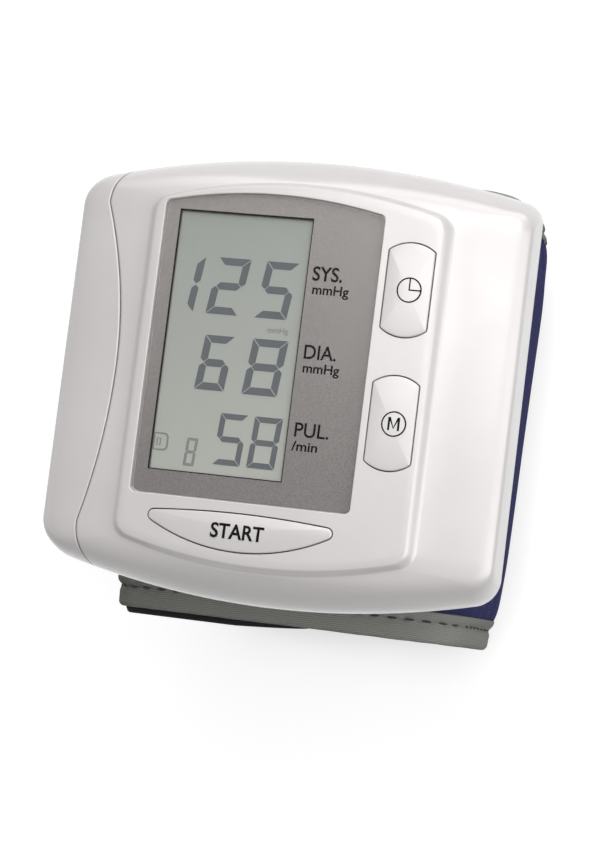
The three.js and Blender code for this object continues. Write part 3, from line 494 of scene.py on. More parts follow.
def platform_rings():
    """The soft step up to the platform, and the crowned top inside it."""
    rings = []
    for i in range(1, 11):
        share = i / 10
        rise = eased(share)
        outline = barrel(**mix(FOOT, PLATFORM, share), **FINE)
        rings.append(at_height(outline, lambda x, y: between(FOOT_Z, crown(x, y), rise)))
    edge = barrel(**PLATFORM, **FINE)
    for i in range(1, 24):
        share = 1 - i / 23.5
        rings.append(at_height([(x * share, y * share) for x, y in edge], crown))
    return rings


def rear_rings(inset, low, edge):
    """From the back plate up to the parting line, with a rounded edge at the back."""

    def ring(share, shrink, z):
        lean = share**DRAFT_POWER

        def shape(quarter):
            start = HALF_WIDTH - REVEAL + (0 if quarter[0] > 0 else LEFT_SPREAD)
            length = between(HALF_LENGTH - REVEAL, BACK_HALF_LENGTH, lean)
            return {
                "half_width": between(start, BACK_HALF_WIDTH, lean) - inset - shrink,
                "half_length": length - inset - shrink,
                "bow": between(FRONT_BOW, PLATFORM["bow"], share),
                "corner": CORNERS[quarter] - inset / 2,
            }

        return at_height(quartered(shape), z)

    rings = [ring(1, shrink, low + rise) for shrink, rise in list(rounding(edge, 8))[:0:-1]]
    for i in range(13):
        share = 1 - i / 12
        rings.append(ring(share, 0, between(PARTING_Z, low + edge, share)))
    return rings


def lip_rings():
    """The small rounding under the front shell's rim."""
    steps = list(rounding(LIP_EDGE, 4))[:-1]
    return [front_ring(inset, 0, PARTING_Z + rise) for rise, inset in steps]


def front_outside():
    rings = lip_rings() + shoulder_rings(0, PARTING_Z + LIP_EDGE, FOOT_Z, 30)
    return loft("front_outside", rings + platform_rings())


def front_inside():
    low = [front_ring(WALL, 0, PARTING_Z - 1)]
    top = [front_ring(WALL, 1, glass_high.z + CELL_HEADROOM)]
    return loft("front_inside", low + shoulder_rings(WALL, PARTING_Z, FOOT_Z - WALL, 12) + top)


def rear_outside():
    return loft("rear_outside", rear_rings(0, BACK_Z, BACK_EDGE))


def rear_inside():
    rings = rear_rings(WALL, BACK_Z + WALL, BACK_INNER_EDGE)
    top = [(x, y, PARTING_Z + 1) for x, y, z in rings[-1]]
    return loft("rear_inside", rings + [top])


def seam_x(y):
    far = max(0.0, abs(y) - SEAM_REACH) / (HALF_LENGTH - SEAM_REACH)
    near = min(1.0, abs(y) / SEAM_REACH)
    extra = SEAM_TOP_EXTRA if y > 0 else 0.0
    return -(SEAM_MIDDLE + (SEAM_BOW + extra) * near * near - (SEAM_FLARE + extra) * far * far)


def cover_side(shift):
    """Everything left of the seam."""
    reach = HALF_LENGTH + 2
    ys = [reach * (i / 60 - 1) for i in range(121)]
    edge = [(seam_x(y) - shift, y) for y in ys]
    far = -2 * HALF_WIDTH
    return prism("cover_side", edge + [(far, reach), (far, -reach)], BACK_Z - 2, FACE_Z + 2)


def mouth(name, outline, deep, edge=MOUTH_EDGE):
    """A cutter for a well or a pocket whose mouth is rounded where it meets the platform."""
    rings = [at_height(outline(0), deep)]
    for grow, drop in rounding(edge, 8, MOUTH_TURN):
        rings.append(at_height(outline(grow), lambda x, y, d=drop: crown(x, y) - d))
    rings.append(at_height(outline(grow), FACE_Z + 2))
    return loft(name, rings)


# ------------------------------------------------------------------ materials


class Tree:
    """A node tree under construction, with short ways to add and join its nodes."""

    def __init__(self, tree):
        self.tree = tree

    def node(self, kind, inputs=None, **settings):
        made = self.tree.nodes.new(kind)
        for key, value in settings.items():
            setattr(made, key, value)
        for key, value in (inputs or {}).items():
            self.join(value, made.inputs[key])
        return made

    def join(self, value, socket):
        if isinstance(value, bpy.types.NodeSocket):
            self.tree.links.new(value, socket)
        else:
            socket.default_value = value

    def math(self, operation, a, b=0.0, c=0.0):
        return self.node("ShaderNodeMath", {0: a, 1: b, 2: c}, operation=operation).outputs[0]

    def spread(self, value, low, high, from_low=0.3, from_high=0.7):
        inputs = {"Value": value, "From Min": from_low, "From Max": from_high,
                  "To Min": low, "To Max": high}
        return self.node("ShaderNodeMapRange", inputs).outputs["Result"]

    def seen(self, *kinds):
        """1 on rays from the camera and of the kinds named, 0 on all others."""
        path = self.node("ShaderNodeLightPath")
        value = path.outputs["Is Camera Ray"]
        for kind in kinds:
            value = self.math("MAXIMUM", value, path.outputs[f"Is {kind} Ray"])
        return value


class Finish(Tree):
    """A material under construction."""

    def __init__(self, name):
        self.material = bpy.data.materials.new(name)
        self.material.use_nodes = True
        super().__init__(self.material.node_tree)
        self.shader = self.tree.nodes["Principled BSDF"]

    def set(self, **values):
        for key, value in values.items():
            self.shader.inputs[key.replace("_", " ")].default_value = value

    def link(self, output, name):
        self.tree.links.new(output, self.shader.inputs[name])

    def coordinates(self, kind="Object"):
        return self.node("ShaderNodeTexCoord").outputs[kind]

    def place(self, axis, kind="Object"):
        """One coordinate of the point that is being shaded."""
        return self.node("ShaderNodeSeparateXYZ", {0: self.coordinates(kind)}).outputs[axis]

    def noise(self, scale, detail=2.0, kind="Object", roughness=0.5):
        inputs = {"Vector": self.coordinates(kind), "Scale": scale, "Detail": detail,
                  "Roughness": roughness}
        return self.node("ShaderNodeTexNoise", inputs).outputs["Fac"]

    def shades(self, value, dark, light, start=0.0, end=1.0):
        """A colour from dark to light as value goes from start to end."""
        ramp = self.node("ShaderNodeValToRGB", {"Fac": value})
        for stop, place, colour in zip(ramp.color_ramp.elements, (start, end), (dark, light)):
            stop.position = place
            stop.color = (*colour, 1)
        return ramp.outputs["Color"]

    def bump(self, height, strength, distance):
        """Adds relief, over any that is there already."""
        inputs = {"Height": height, "Strength": strength, "Distance": distance}
        before = self.shader.inputs["Normal"].links
        if before:
            inputs["Normal"] = before[0].from_socket
        self.link(self.node("ShaderNodeBump", inputs).outputs["Normal"], "Normal")


def srgb(r, g, b):
    """A colour as read from a picture, 0 to 255, as Blender's linear values."""
    return tuple(
        (c / 255 / 12.92) if c <= 10 else ((c / 255 + 0.055) / 1.055) ** 2.4
        for c in (r, g, b)
    )


def pearl_plastic():
    """Silver white moulded plastic under a clear gloss, with the faintest mineral depth.
    Its edges along the cover's seam are eased."""
    finish = Finish("pearl_white_plastic")
    finish.set(Metallic=0.15, IOR=1.5, Coat_Weight=0.95, Coat_Roughness=0.24, Coat_IOR=1.55)
    cloud = finish.spread(finish.noise(70, 3), 0.0, 1.0)
    finish.link(finish.shades(cloud, srgb(215, 211, 210), srgb(221, 217, 216)), "Base Color")
    finish.link(finish.spread(finish.noise(160, 3), 0.3, 0.38), "Roughness")
    finish.bump(seam_lip(finish), 1.0, 0.6 * SEAM_LIP * MM)
    finish.bump(finish.noise(220, 2), 0.04, 0.00004)
    return finish.material


def seam_lip(finish):
    """A height that falls off in a quarter round towards the cover's seam, whose place is
    worked out as seam_x() does."""
    do = finish.math
    x, y = finish.place("X"), finish.place("Y")
    along = do("ABSOLUTE", do("DIVIDE", y, MM))
    extra = do("MULTIPLY", do("GREATER_THAN", y, 0.0), SEAM_TOP_EXTRA)
    near = do("MINIMUM", do("DIVIDE", along, SEAM_REACH), 1.0)
    past = do("MAXIMUM", do("SUBTRACT", along, SEAM_REACH), 0.0)
    far = do("DIVIDE", past, HALF_LENGTH - SEAM_REACH)
    seam = do("MULTIPLY_ADD", do("POWER", near, 2.0), do("ADD", SEAM_BOW, extra),
              SEAM_MIDDLE + SEAM_GAP / 2)
    seam = do("MULTIPLY_ADD", do("POWER", far, 2.0), do("SUBTRACT", -SEAM_FLARE, extra), seam)
    off = do("ABSOLUTE", do("ADD", do("DIVIDE", x, MM), seam))
    short = finish.spread(off, 1.0, 0.0, SEAM_GAP / 2, SEAM_LIP)
    return do("SQRT", do("SUBTRACT", 1.0, do("POWER", short, 2.0)))


def panel_print():
    """Warm grey metallic print seen through the lens, lighter towards the top."""
    finish = Finish("panel_print")
    finish.set(Metallic=0.25, IOR=1.45, Roughness=0.45)
    flake = finish.noise(6500, 2)
    height = finish.spread(finish.place("Y"), 0.0, 0.6, lens_low.y * MM, lens_high.y * MM)
    sparkle = finish.spread(flake, 0.0, 0.4, 0.35, 0.65)
    tint = finish.shades(finish.math("ADD", height, sparkle), srgb(123, 118, 117),
                         srgb(168, 163, 160))
    finish.link(tint, "Base Color")
    finish.bump(flake, 0.03, 0.00001)
    return finish.material


def lens_clear():
    """A thin clear sheet: mostly a faint gloss over what is under it."""
    finish = Finish("clear_lens")
    finish.set(IOR=1.5, Alpha=0.05, Base_Color=(0.12, 0.12, 0.12, 1))
    finish.link(finish.spread(finish.noise(60, 2), 0.05, 0.09), "Roughness")
    return finish.material


def lcd_grey():
    """Greenish grey liquid crystal, with painted shade that makes it a little cooler and darker
    to the top.
    """
    finish = Finish("liquid_crystal")
    finish.set(Roughness=0.35, IOR=1.45)
    # Painted shade: the crystal darkens towards the top of its window.
    height = finish.spread(finish.place("Y"), 0.0, 1.0, glass_low.y * MM, glass_high.y * MM)
    tint = finish.shades(height, srgb(209, 211, 203), srgb(177, 183, 176))
    grain = finish.shades(finish.noise(3000, 2), srgb(168, 172, 166), srgb(196, 198, 190))
    blend = finish.node("ShaderNodeMix", {"Factor": 0.12, 6: tint, 7: grain}, data_type="RGBA")
    finish.link(blend.outputs[2], "Base Color")
    return finish.material


def plain(name, colour, roughness, metallic=0.0, grain=900, variation=0.08, specular=0.5):
    """A moulded or metal finish with a fine grain and slight colour variation."""
    finish = Finish(name)
    finish.set(Metallic=metallic, Specular_IOR_Level=specular)
    dark = tuple(c * (1 - variation) for c in colour)
    light = tuple(min(1.0, c * (1 + variation)) for c in colour)
    finish.link(finish.shades(finish.noise(grain, 3), dark, light), "Base Color")
    finish.link(finish.spread(finish.noise(grain / 6, 3), roughness * 0.85, roughness * 1.15),
                "Roughness")
    finish.bump(finish.noise(grain, 2), 0.15, 0.00003)
    return finish.material


def knit(name, dark, light, wale, course, depth, fuzz=0.4):
    """Knitted or woven cloth. The UV map holds millimetres along the band and across it.
    course is the pitch of the loops along it, wale that across it."""
    finish = Finish(name)
    do = finish.math
    along, across = finish.place("X", "UV"), finish.place("Y", "UV")
    shift = do("MULTIPLY", finish.noise(0.45, 2, "UV"), 0.35)
    rib = do("SINE", do("MULTIPLY", do("ADD", across, shift), 2 * math.pi / wale))
    lean = do("MULTIPLY", do("ABSOLUTE", rib), 0.35)
    loop = do("SINE", do("MULTIPLY", do("ADD", do("ADD", along, shift), lean),
                         2 * math.pi / course))
    height = do("MULTIPLY_ADD", rib, 0.25, do("MULTIPLY_ADD", loop, 0.25, 0.5))
    height = do("MULTIPLY_ADD", finish.noise(6.0, 4, "UV", 0.65), fuzz, height)
    # The colour follows the loops' height: painted shade darkens the gaps between them, and the
    # fuzz adds random tone.
    finish.link(finish.shades(height, dark, light, 0.2, 0.95), "Base Color")
    finish.set(Roughness=0.9, Sheen_Weight=0.25, Sheen_Roughness=0.5, Sheen_Tint=(*light, 1),
               Specular_IOR_Level=0.25)
    finish.bump(height, 0.9, depth)
    return finish.material


def thread_material():
    finish = Finish("stitching_thread")
    finish.set(Roughness=0.75, Sheen_Weight=0.2)
    twist = finish.noise(2500, 2)
    finish.link(finish.shades(twist, srgb(44, 46, 46), srgb(86, 88, 86)), "Base Color")
    finish.bump(twist, 0.4, 0.00005)
    return finish.material


WHITE = pearl_plastic()
PANEL = panel_print()
CLEAR = lens_clear()
LCD = lcd_grey()
INK = plain("black_print", srgb(12, 11, 12), 0.6, specular=0.1)
SEGMENT = plain("dark_segments", srgb(117, 122, 126), 0.6, variation=0.05, specular=0.2)
FAINT = plain("faint_segments", srgb(154, 160, 156), 0.6, variation=0.05, specular=0.2)
# Each cloth's darker colour is mostly painted shade in the gaps between its loops, and its
# lighter one is the loops' tops.
NAVY = knit("navy_loop_fabric", srgb(30, 31, 64), srgb(66, 68, 120), 0.45, 0.36, 0.00012, 0.7)
BINDING = knit("binding_tape", srgb(150, 153, 147), srgb(216, 218, 210), 0.3, 0.33, 0.0001, 0.3)
LINING = knit("lining_fabric", srgb(24, 25, 27), srgb(48, 49, 53), 0.4, 0.4, 0.0001)
HOOK = knit("hook_tape", srgb(18, 18, 22), srgb(60, 60, 68), 0.9, 0.9, 0.0004)
THREAD = thread_material()

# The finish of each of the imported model's material slots
SLOT_FINISHES = {
    "inner_plastic": plain("inner_plastic", srgb(214, 215, 211), 0.5),
    "circuit_board": plain("circuit_board", srgb(38, 98, 62), 0.45, grain=500),
    "black_plastic": plain("black_plastic", srgb(30, 30, 33), 0.5),
    "steel": plain("bright_steel", srgb(190, 192, 196), 0.3, 1.0, grain=1500),
    "brass": plain("brass", srgb(200, 165, 95), 0.3, 1.0),
    "soft_hose": plain("soft_hose", srgb(206, 210, 212), 0.4),
    "cell_case": plain("cell_label", srgb(70, 80, 92), 0.35, 0.4),
    "dark_fabric": LINING,
    "navy_fabric": NAVY,
    "grey_binding": BINDING,
    "housing_plastic": WHITE,
    "panel_print": PANEL,
    "clear_plastic": CLEAR,
    "lcd": LCD,
}


def finish_carried_nodes():
    """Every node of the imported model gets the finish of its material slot."""
    for row in frame["record"]["subparts"]:
        mesh = nodes[row["node"]].data
        mesh.materials.clear()
        mesh.materials.append(SLOT_FINISHES[row["material_slot"]])


# ------------------------------------------------------------------ the housing's pieces

# The keys' outlines, which take how far to grow them
KEY_OUTLINES = {
    "clock": lambda grow: key_outline(CLOCK_Y, grow),
    "memory": lambda grow: key_outline(MEMORY_Y, grow),
    "start": start_outline,
}


def make_front_shell():
    shell = front_outside()
    shell.name = "front_housing"
    combine(shell, "DIFFERENCE", front_inside())
    deep = mask_low.z - 0.05
    pocket = mouth("pocket", lambda g: panel_outline(POCKET_GAP + g), deep, POCKET_EDGE)
    combine(shell, "DIFFERENCE", pocket)
    through = prism("through", panel_outline(-LEDGE), PARTING_Z, FACE_Z)
    wells = [
        mouth(f"{word}_well", lambda g, o=outline: o(KEY_GAP + g), PARTING_Z)
        for word, outline in KEY_OUTLINES.items()
    ]
    combine(shell, "DIFFERENCE", through, *wells)
    combine(shell, "DIFFERENCE", cover_side(0))
    keep_curves(shell, front_outside())
    dress(shell, "monitor", WHITE, "front_shell", slot="housing_plastic")


def screw_places():
    for number in range(1, 5):
        low, high = corners(f"housing_screw_{number}")
        yield (low.x + high.x) / 2, (low.y + high.y) / 2, low.z, high.z


def make_rear_shell():
    shell = rear_outside()
    shell.name = "rear_housing"
    combine(shell, "DIFFERENCE", rear_inside())
    left = corners("battery_1")[1].x + BAY_GAP
    near = corners("positive_contact")[1].y + BAY_GAP
    far = near + BAY_WALL
    floor, top = BACK_Z + WALL / 2, glass_low.z - BAY_BELOW_CELL
    walls = [
        brick("partition", (left, -far, floor), (left + BAY_WALL, far, top)),
        brick("bay_end", (BAY_LEFT, -far, floor), (left + BAY_LAP, -near, top)),
        brick("bay_end", (BAY_LEFT, near, floor), (left + BAY_LAP, far, top)),
    ]
    posts = [
        drum("screw_post", x, y, BACK_Z + 1, high - POST_BELOW_TIP, POST_RADIUS)
        for x, y, low, high in screw_places()
    ]
    combine(shell, "UNION", *walls, *posts)
    sinks = [
        drum("screw_sink", x, y, BACK_Z - 1, low + SINK_ABOVE_HEAD, SINK_RADIUS)
        for x, y, low, high in screw_places()
    ]
    combine(shell, "DIFFERENCE", *sinks)
    combine(shell, "DIFFERENCE", cover_side(0))
    keep_curves(shell, rear_outside())
    dress(shell, "monitor", WHITE, "rear_shell", slot="housing_plastic")


def make_battery_cover():
    cover = front_outside()
    cover.name = "bay_cover"
    combine(cover, "UNION", rear_outside())
    combine(cover, "INTERSECT", cover_side(SEAM_GAP))
    combine(cover, "DIFFERENCE", front_inside())
    combine(cover, "DIFFERENCE", rear_inside())
    half = TAB["half_length"]
    tabs = [
        brick("tab", (TAB["left"], y - half, z), (TAB["right"], y + half, z + TAB["thickness"]))
        for y in (-TAB["y"], TAB["y"]) for z in TAB_HEIGHTS
    ]
    combine(cover, "UNION", *tabs)
    keep_curves(cover, front_outside(), rear_outside())
    dress(cover, "bay_cover", WHITE, "battery_cover", slot="housing_plastic")


def make_button(name, node, outline, body):
    """A cap that follows the platform's crown, with a rounded edge and a slight pillow."""
    ring = outline(-KEY_EDGE)
    centre_x = sum(x for x, y in ring) / len(ring)
    centre_y = sum(y for x, y in ring) / len(ring)
    rings = [at_height(outline(0), corners(node)[0].z + 1)]
    for inset, drop in rounding(KEY_EDGE, 6):
        rings.append(at_height(outline(-inset),
                               lambda x, y, d=drop - KEY_PROUD: crown(x, y) - d))
    for i in range(1, 9):
        share = 1 - i / 8.5
        scaled = [
            (centre_x + (x - centre_x) * share, centre_y + (y - centre_y) * share)
            for x, y in ring
        ]
        rise = KEY_PROUD + KEY_PILLOW * (1 - share * share)
        rings.append(at_height(scaled, lambda x, y, r=rise: crown(x, y) + r))
    cap = loft(name, rings)
    dress(cap, body, WHITE, node, slot="housing_plastic")


def key_top(x, y):
    return crown(x, y) + KEY_PROUD + KEY_PILLOW


# ------------------------------------------------------------------ the display

# The front polariser brings the cell's face up to just under the printed mask
CELL_TOP = mask_low.z - 0.15
# Underside and top of what is printed on the cell
FIGURE_LOW = CELL_TOP + 0.015
FIGURE_HIGH = CELL_TOP + 0.035
PRINT_Z = mask_high.z + 0.02
# Height of a capital letter in Blender's own font, of its size
CAPITAL = 0.73
LETTER_DEPTH = 0.008
STROKE_DEPTH = 0.02
BORDER_DEPTH = 0.015
# How much wider the window's black border is on its left, right, lower and upper side. It is
# partly print and partly painted shadow of the recess, which is why it is wider on the left and
# top
BORDER_AND_SHADOW = {"left": 0.24, "right": 0.1, "low": 0.12, "high": 0.26, "lap": 0.03}
MARK_RADIUS = 1.75
MARK_LINE = 0.2

SEGMENTS = {
    "0": "abcdef", "1": "bc", "2": "abged", "3": "abgcd", "4": "fgbc",
    "5": "afgcd", "6": "afgedc", "7": "abc", "8": "abcdefg", "9": "abcdfg",
}


def segment_bars(w, h, t):
    """The seven bars of a figure of that width, height and thickness, each a list of corners."""
    s, m = t * 0.08, h / 2
    return {
        "a": [(s, h), (w - s, h), (w - t - s, h - t), (t + s, h - t)],
        "d": [(s, 0), (w - s, 0), (w - t - s, t), (t + s, t)],
        "f": [(0, h - s), (t, h - t - s), (t, m + t / 2 + s / 2), (t / 2, m + s), (0, m + t / 2)],
        "e": [(0, s), (t, t + s), (t, m - t / 2 - s / 2), (t / 2, m - s), (0, m - t / 2)],
        "b": [(w, h - s), (w - t, h - t - s), (w - t, m + t / 2 + s / 2), (w - t / 2, m + s),
              (w, m + t / 2)],
        "c": [(w, s), (w - t, t + s), (w - t, m - t / 2 - s / 2), (w - t / 2, m - s),
              (w, m - t / 2)],
        "g": [(t / 2 + s, m), (t + s, m + t / 2), (w - t - s, m + t / 2), (w - t / 2 - s, m),
              (w - t - s, m - t / 2), (t + s, m - t / 2)],
    }


def figures(name, text, x, y, width, height, bar, pitch, slant, material):
    """A row of seven-segment figures whose lower left corner is at x, y."""
    points, faces = [], []
    bars = segment_bars(width, height, bar)
    for place, figure in enumerate(text):
        for letter in SEGMENTS[figure]:
            outline = [(x + place * pitch + px + slant * py, y + py) for px, py in bars[letter]]
            start, count = len(points), len(outline)
            points += at_height(outline, FIGURE_LOW) + at_height(outline, FIGURE_HIGH)
            faces.append(tuple(range(start + count, start + 2 * count)))
            faces.append(tuple(reversed(range(start, start + count))))
            for k in range(count):
                nxt = (k + 1) % count
                faces.append((start + k, start + nxt, start + count + nxt, start + count + k))
    obj = make_object(name, points, faces)
    face_outwards(obj)
    dress(obj, "monitor", material)


def lettering(name, text, x, y, cap, width, z, material, body="monitor", weight=0.0,
              slant=0.0):
    """Flat printed letters from x to x + width, standing on y."""
    curve = bpy.data.curves.new(name, "FONT")
    curve.body = text
    curve.size = cap * MM / CAPITAL
    curve.extrude = LETTER_DEPTH * MM
    curve.offset = weight * MM
    curve.shear = slant
    curve.resolution_u = 6
    text_object = put(name + "_curve", curve)
    bpy.context.view_layer.update()
    mesh = bpy.data.meshes.new_from_object(evaluated(text_object))
    bpy.data.objects.remove(text_object)
    low = min(v.co.x for v in mesh.vertices)
    high = max(v.co.x for v in mesh.vertices)
    stretch = width * MM / (high - low)
    for vertex in mesh.vertices:
        vertex.co = Vector((x * MM + (vertex.co.x - low) * stretch, y * MM + vertex.co.y,
                            z * MM + vertex.co.z))
    mesh.name = name
    dress(put(name, mesh), body, material)


def strokes(name, lines, z, material, body):
    """Printed lines, each a row of points and a thickness, with square ends."""
    points, faces = [], []
    for line, thickness, closed in lines:
        count = len(line)
        start = len(points)
        for k, (px, py) in enumerate(line):
            before = line[k - 1] if k or closed else line[k]
            after = line[(k + 1) % count] if k < count - 1 or closed else line[k]
            along = Vector((after[0] - before[0], after[1] - before[1], 0)).normalized()
            side = Vector((-along.y, along.x, 0)) * thickness / 2
            for s in (1, -1):
                for level in (0.0, STROKE_DEPTH):
                    points.append((px + side.x * s, py + side.y * s, z + level))
        for k in range(count if closed else count - 1):
            a, b = start + 4 * k, start + 4 * ((k + 1) % count)
            faces += [(a + 1, b + 1, b + 3, a + 3), (a + 2, b + 2, b, a), (a, b, b + 1, a + 1),
                      (a + 3, b + 3, b + 2, a + 2)]
        if not closed:
            last = start + 4 * (count - 1)
            faces += [(start, start + 1, start + 3, start + 2),
                      (last + 2, last + 3, last + 1, last)]
    obj = make_object(name, points, faces)
    face_outwards(obj)
    dress(obj, body, material)


def window_cutter(grow):
    return prism("window", window_outline(grow), mask_low.z - 1, mask_high.z + 1)


def make_display():
    lens = prism("lens", panel_outline(0), lens_low.z, lens_high.z)
    dress(lens, "monitor", CLEAR, "display_lens", slot="clear_plastic")
    mask = prism("printed_panel", panel_outline(0), mask_low.z, mask_high.z)
    combine(mask, "DIFFERENCE", window_cutter(0))
    dress(mask, "monitor", PANEL, "display_mask", slot="panel_print")
    low, _, high, _ = window_outline(0)
    # Black ink round the window: part print, and part painted shadow of the recess on the left
    # and top.
    border = brick(
        "window_border_and_shadow",
        (low[0] - BORDER_AND_SHADOW["left"], low[1] - BORDER_AND_SHADOW["low"], PRINT_Z - BORDER_DEPTH),
        (high[0] + BORDER_AND_SHADOW["right"], high[1] + BORDER_AND_SHADOW["high"], PRINT_Z))
    combine(border, "DIFFERENCE", window_cutter(-BORDER_AND_SHADOW["lap"]))
    dress(border, "monitor", INK)
    cell = brick("liquid_crystal_cell", glass_low, (glass_high.x, glass_high.y, CELL_TOP))
    dress(cell, "monitor", LCD, "lcd_glass", slot="lcd")


# Name, figures, x, y, width, height, bar, pitch, slant and finish. Each place in the middle
# row and the first figure of the top row is set by itself.
READINGS = (
    ("reading_hundreds", "1", -19.75, 8.45, 5.0, 8.4, 1.1, 7.6, 0.13, SEGMENT),
    ("reading_high", "25", -12.75, 8.48, 5.0, 8.45, 1.1, 7.45, 0.13, SEGMENT),
    ("reading_tens", "6", -13.05, -2.83, 4.6, 8.15, 1.12, 7.45, 0.1, SEGMENT),
    ("reading_low", "8", -5.7, -2.9, 5.4, 8.3, 1.12, 7.45, 0.1, SEGMENT),
    ("reading_pulse", "58", -8.85, -13.57, 4.25, 7.6, 0.85, 5.26, 0.065, SEGMENT),
    ("memory_number", "8", -13.3, -14.22, 1.7, 4.15, 0.42, 2.0, 0.065, FAINT),
)
# Name, word, x, y, height of its capitals, width and weight
PANEL_WORDS = (
    ("label_1", "SYS.", 3.0, 14.62, 2.15, 4.5, 0.05),
    ("unit_1", "mmHg", 3.23, 12.62, 1.45, 5.5, 0.035),
    ("label_2", "DIA.", 3.17, 3.09, 2.15, 4.85, 0.035),
    ("unit_2", "mmHg", 3.26, 1.07, 1.45, 5.5, 0.035),
    ("label_3", "PUL.", 3.19, -8.32, 2.15, 5.15, 0.03),
    ("unit_3", "/min", 3.0, -10.39, 1.45, 3.9, 0.035),
)


def make_readings():
    for row in READINGS:
        figures(*row)
    tab = [(-18.15, -12.25), (-16.65, -12.25)] + arc(-16.65, -11.65, 0.6, -1.2, 0, 4)
    tab += arc(-16.65, -10.45, 0.6, 0, 1.2, 4) + [(-16.65, -9.85), (-18.15, -9.85)]
    slot = [(-17.65, -11.55), (-17.15, -11.55), (-17.15, -10.55), (-17.65, -10.55)]
    strokes("memory_sign", ((tab, 0.3, True), (slot, 0.22, True)), FIGURE_LOW, FAINT, "monitor")
    lettering("small_unit", "mmHg", -2.95, 6.45, 0.85, 3.2, FIGURE_LOW, FAINT, weight=0.02)


def key_mark(word, x, y, key_y, *lines):
    """A mark in a thin circle round x, y on a key. Each line has its thickness and points
    that count from there."""
    mark = [(circle(x, y, MARK_RADIUS), MARK_LINE, True)]
    for thickness, *line in lines:
        mark.append(([(x + px, y + py) for px, py in line], thickness, False))
    strokes(f"{word}_mark", mark, key_top(KEY_X, key_y), INK, f"{word}_key")


def make_lettering():
    for name, word, x, y, cap, width, weight in PANEL_WORDS:
        lettering(name, word, x, y, cap, width, PRINT_Z, INK, weight=weight)
    top = key_top(START["x"], START["y"])
    lettering("start_word", "START", -7.2, -24.16, 2.2, 8.1, top, INK, "start_key", weight=0.065,
              slant=0.02)
    key_mark("clock", 17.94, 14.18, CLOCK_Y, (MARK_LINE, (0, 0), (0, MARK_RADIUS)),
             (MARK_LINE, (-0.1, 0), (MARK_RADIUS, 0)))
    key_mark("memory", 18.06, -5.24, MEMORY_Y, (0.3, (-0.72, -0.95), (-0.72, 0.95)),
             (0.3, (0.72, 0.95), (0.72, -0.95)), (0.28, (-0.66, 0.95), (0, -0.6), (0.66, 0.95)))


# ------------------------------------------------------------------ the cuff

CUFF = {
    "height": 48.0, "flat": 0.5, "x": -3.5, "left": 31.4, "right": 29.5, "length": 71.4,
    "near_power": 5.5, "far_power": 2.4, "crown_power": 8,
    "hinge": 28.0, "hinge_point": (25.985, 0.0, 39.428), "base_end": 285.0, "strap_end": -135.0,
}
SKEW = 0.022
# How much further out the upper end lies
UPPER_REACH = 1.7
# The bindings: width of the bead beyond the crease and of the flaps on this side of it, and
# how far out from the ring the bead's two faces are
BEAD = 3.3
UPPER_BEAD = 1.7
BEAD_TOP = -1.5
BEAD_LOW = -4.05
FLAP = 1.6
FLAP_THICKNESS = 0.42
BEAD_CORNER = 0.9
CREASE_DIP = 1.5
EDGE_SINK = 1.8
EDGE_THICKNESS = 0.8
COVER_THICKNESS = 1.6
LINING_THICKNESS = 1.0
BASE_THICKNESS = 5.7
STRAP_THICKNESS = 4.6
# Over this length the strap thins from the base's thickness to its own
STRAP_TAPER = 12.0
HOOK_THICKNESS = 0.9
HOOK_TAPE = 0.38
HOOK_ANGLES = (-126.0, -81.0)
HOOK_HALF_WIDTH = 27.5
SEAT_GAP = 0.3
STITCH_PITCH = 2.7
STITCH_LENGTH = 1.7
STITCH_MARGIN = 2.4
THREAD_THICKNESS = 0.44
STITCH_DEPTHS = {"outer": -1.72, "inner": -3.93}
# Height of the gathers along the sewn edges, their turns per millimetre, and the height of
# the padding's slow waves
GATHER = 0.14
GATHER_TURN = 1.15
WAVE = 0.22
# Over these lengths the layers' and the tapes' free ends are rounded off
LAYER_END = 1.5
TAPE_END = 1.2
# Between these angles the lining's rolled edge shows
LINING_EDGE_ANGLES = (80, 205)
HOOK_HEIGHT = 0.5
HOOK_RADIUS = 0.13
# How far the hooks' rows are apart, in degrees, and how far they keep from the tape's ends
# and sides
HOOK_STEP = 2.2
HOOK_END_MARGIN = 1.5
HOOK_SIDE_MARGIN = 0.8
HOOK_SINK = 0.6
# How far the padding may swell, and less between two angles: under the housing, where the
# strap laps the base, and at the hinge
COVER_SWELL = (0.8, (30, 150, 0.05), (200, 330, 0.15), (330, 390, 0.0))
STRAP_SWELL = (0.7, (225, 290, 0.1), (0, 40, 0.0), (352, 400, 0.0))
PAD_EDGE = CUFF["length"] / 2 - BEAD
CLOTH_EDGE = PAD_EDGE - 0.5
RING_HALF = (CUFF["height"] + CUFF["flat"]) / 2
RING_Z = CUFF["height"] - RING_HALF
LAP = STRAP_THICKNESS + HOOK_THICKNESS + 2 * SEAT_GAP
BASE_RING = {"left": CUFF["left"], "right": CUFF["right"], "top": RING_HALF,
             "low": RING_HALF - LAP}
STRAP_RING = {"left": CUFF["left"] + LAP, "right": CUFF["right"], "top": RING_HALF,
              "low": RING_HALF}


def ring_point(sizes, degrees):
    """A point of the cuff's outermost line, seen from its end."""
    c, s = math.cos(math.radians(degrees)), math.sin(math.radians(degrees))
    power = CUFF["near_power"] if s > 0 else CUFF["far_power"]
    across = abs(c) / (sizes["right"] if c > 0 else sizes["left"])
    up = abs(s) / (sizes["top"] if s > 0 else sizes["low"])
    radius = (across**power + up**power) ** (-1 / power)
    return Vector((CUFF["x"] + radius * c, RING_Z + radius * s))


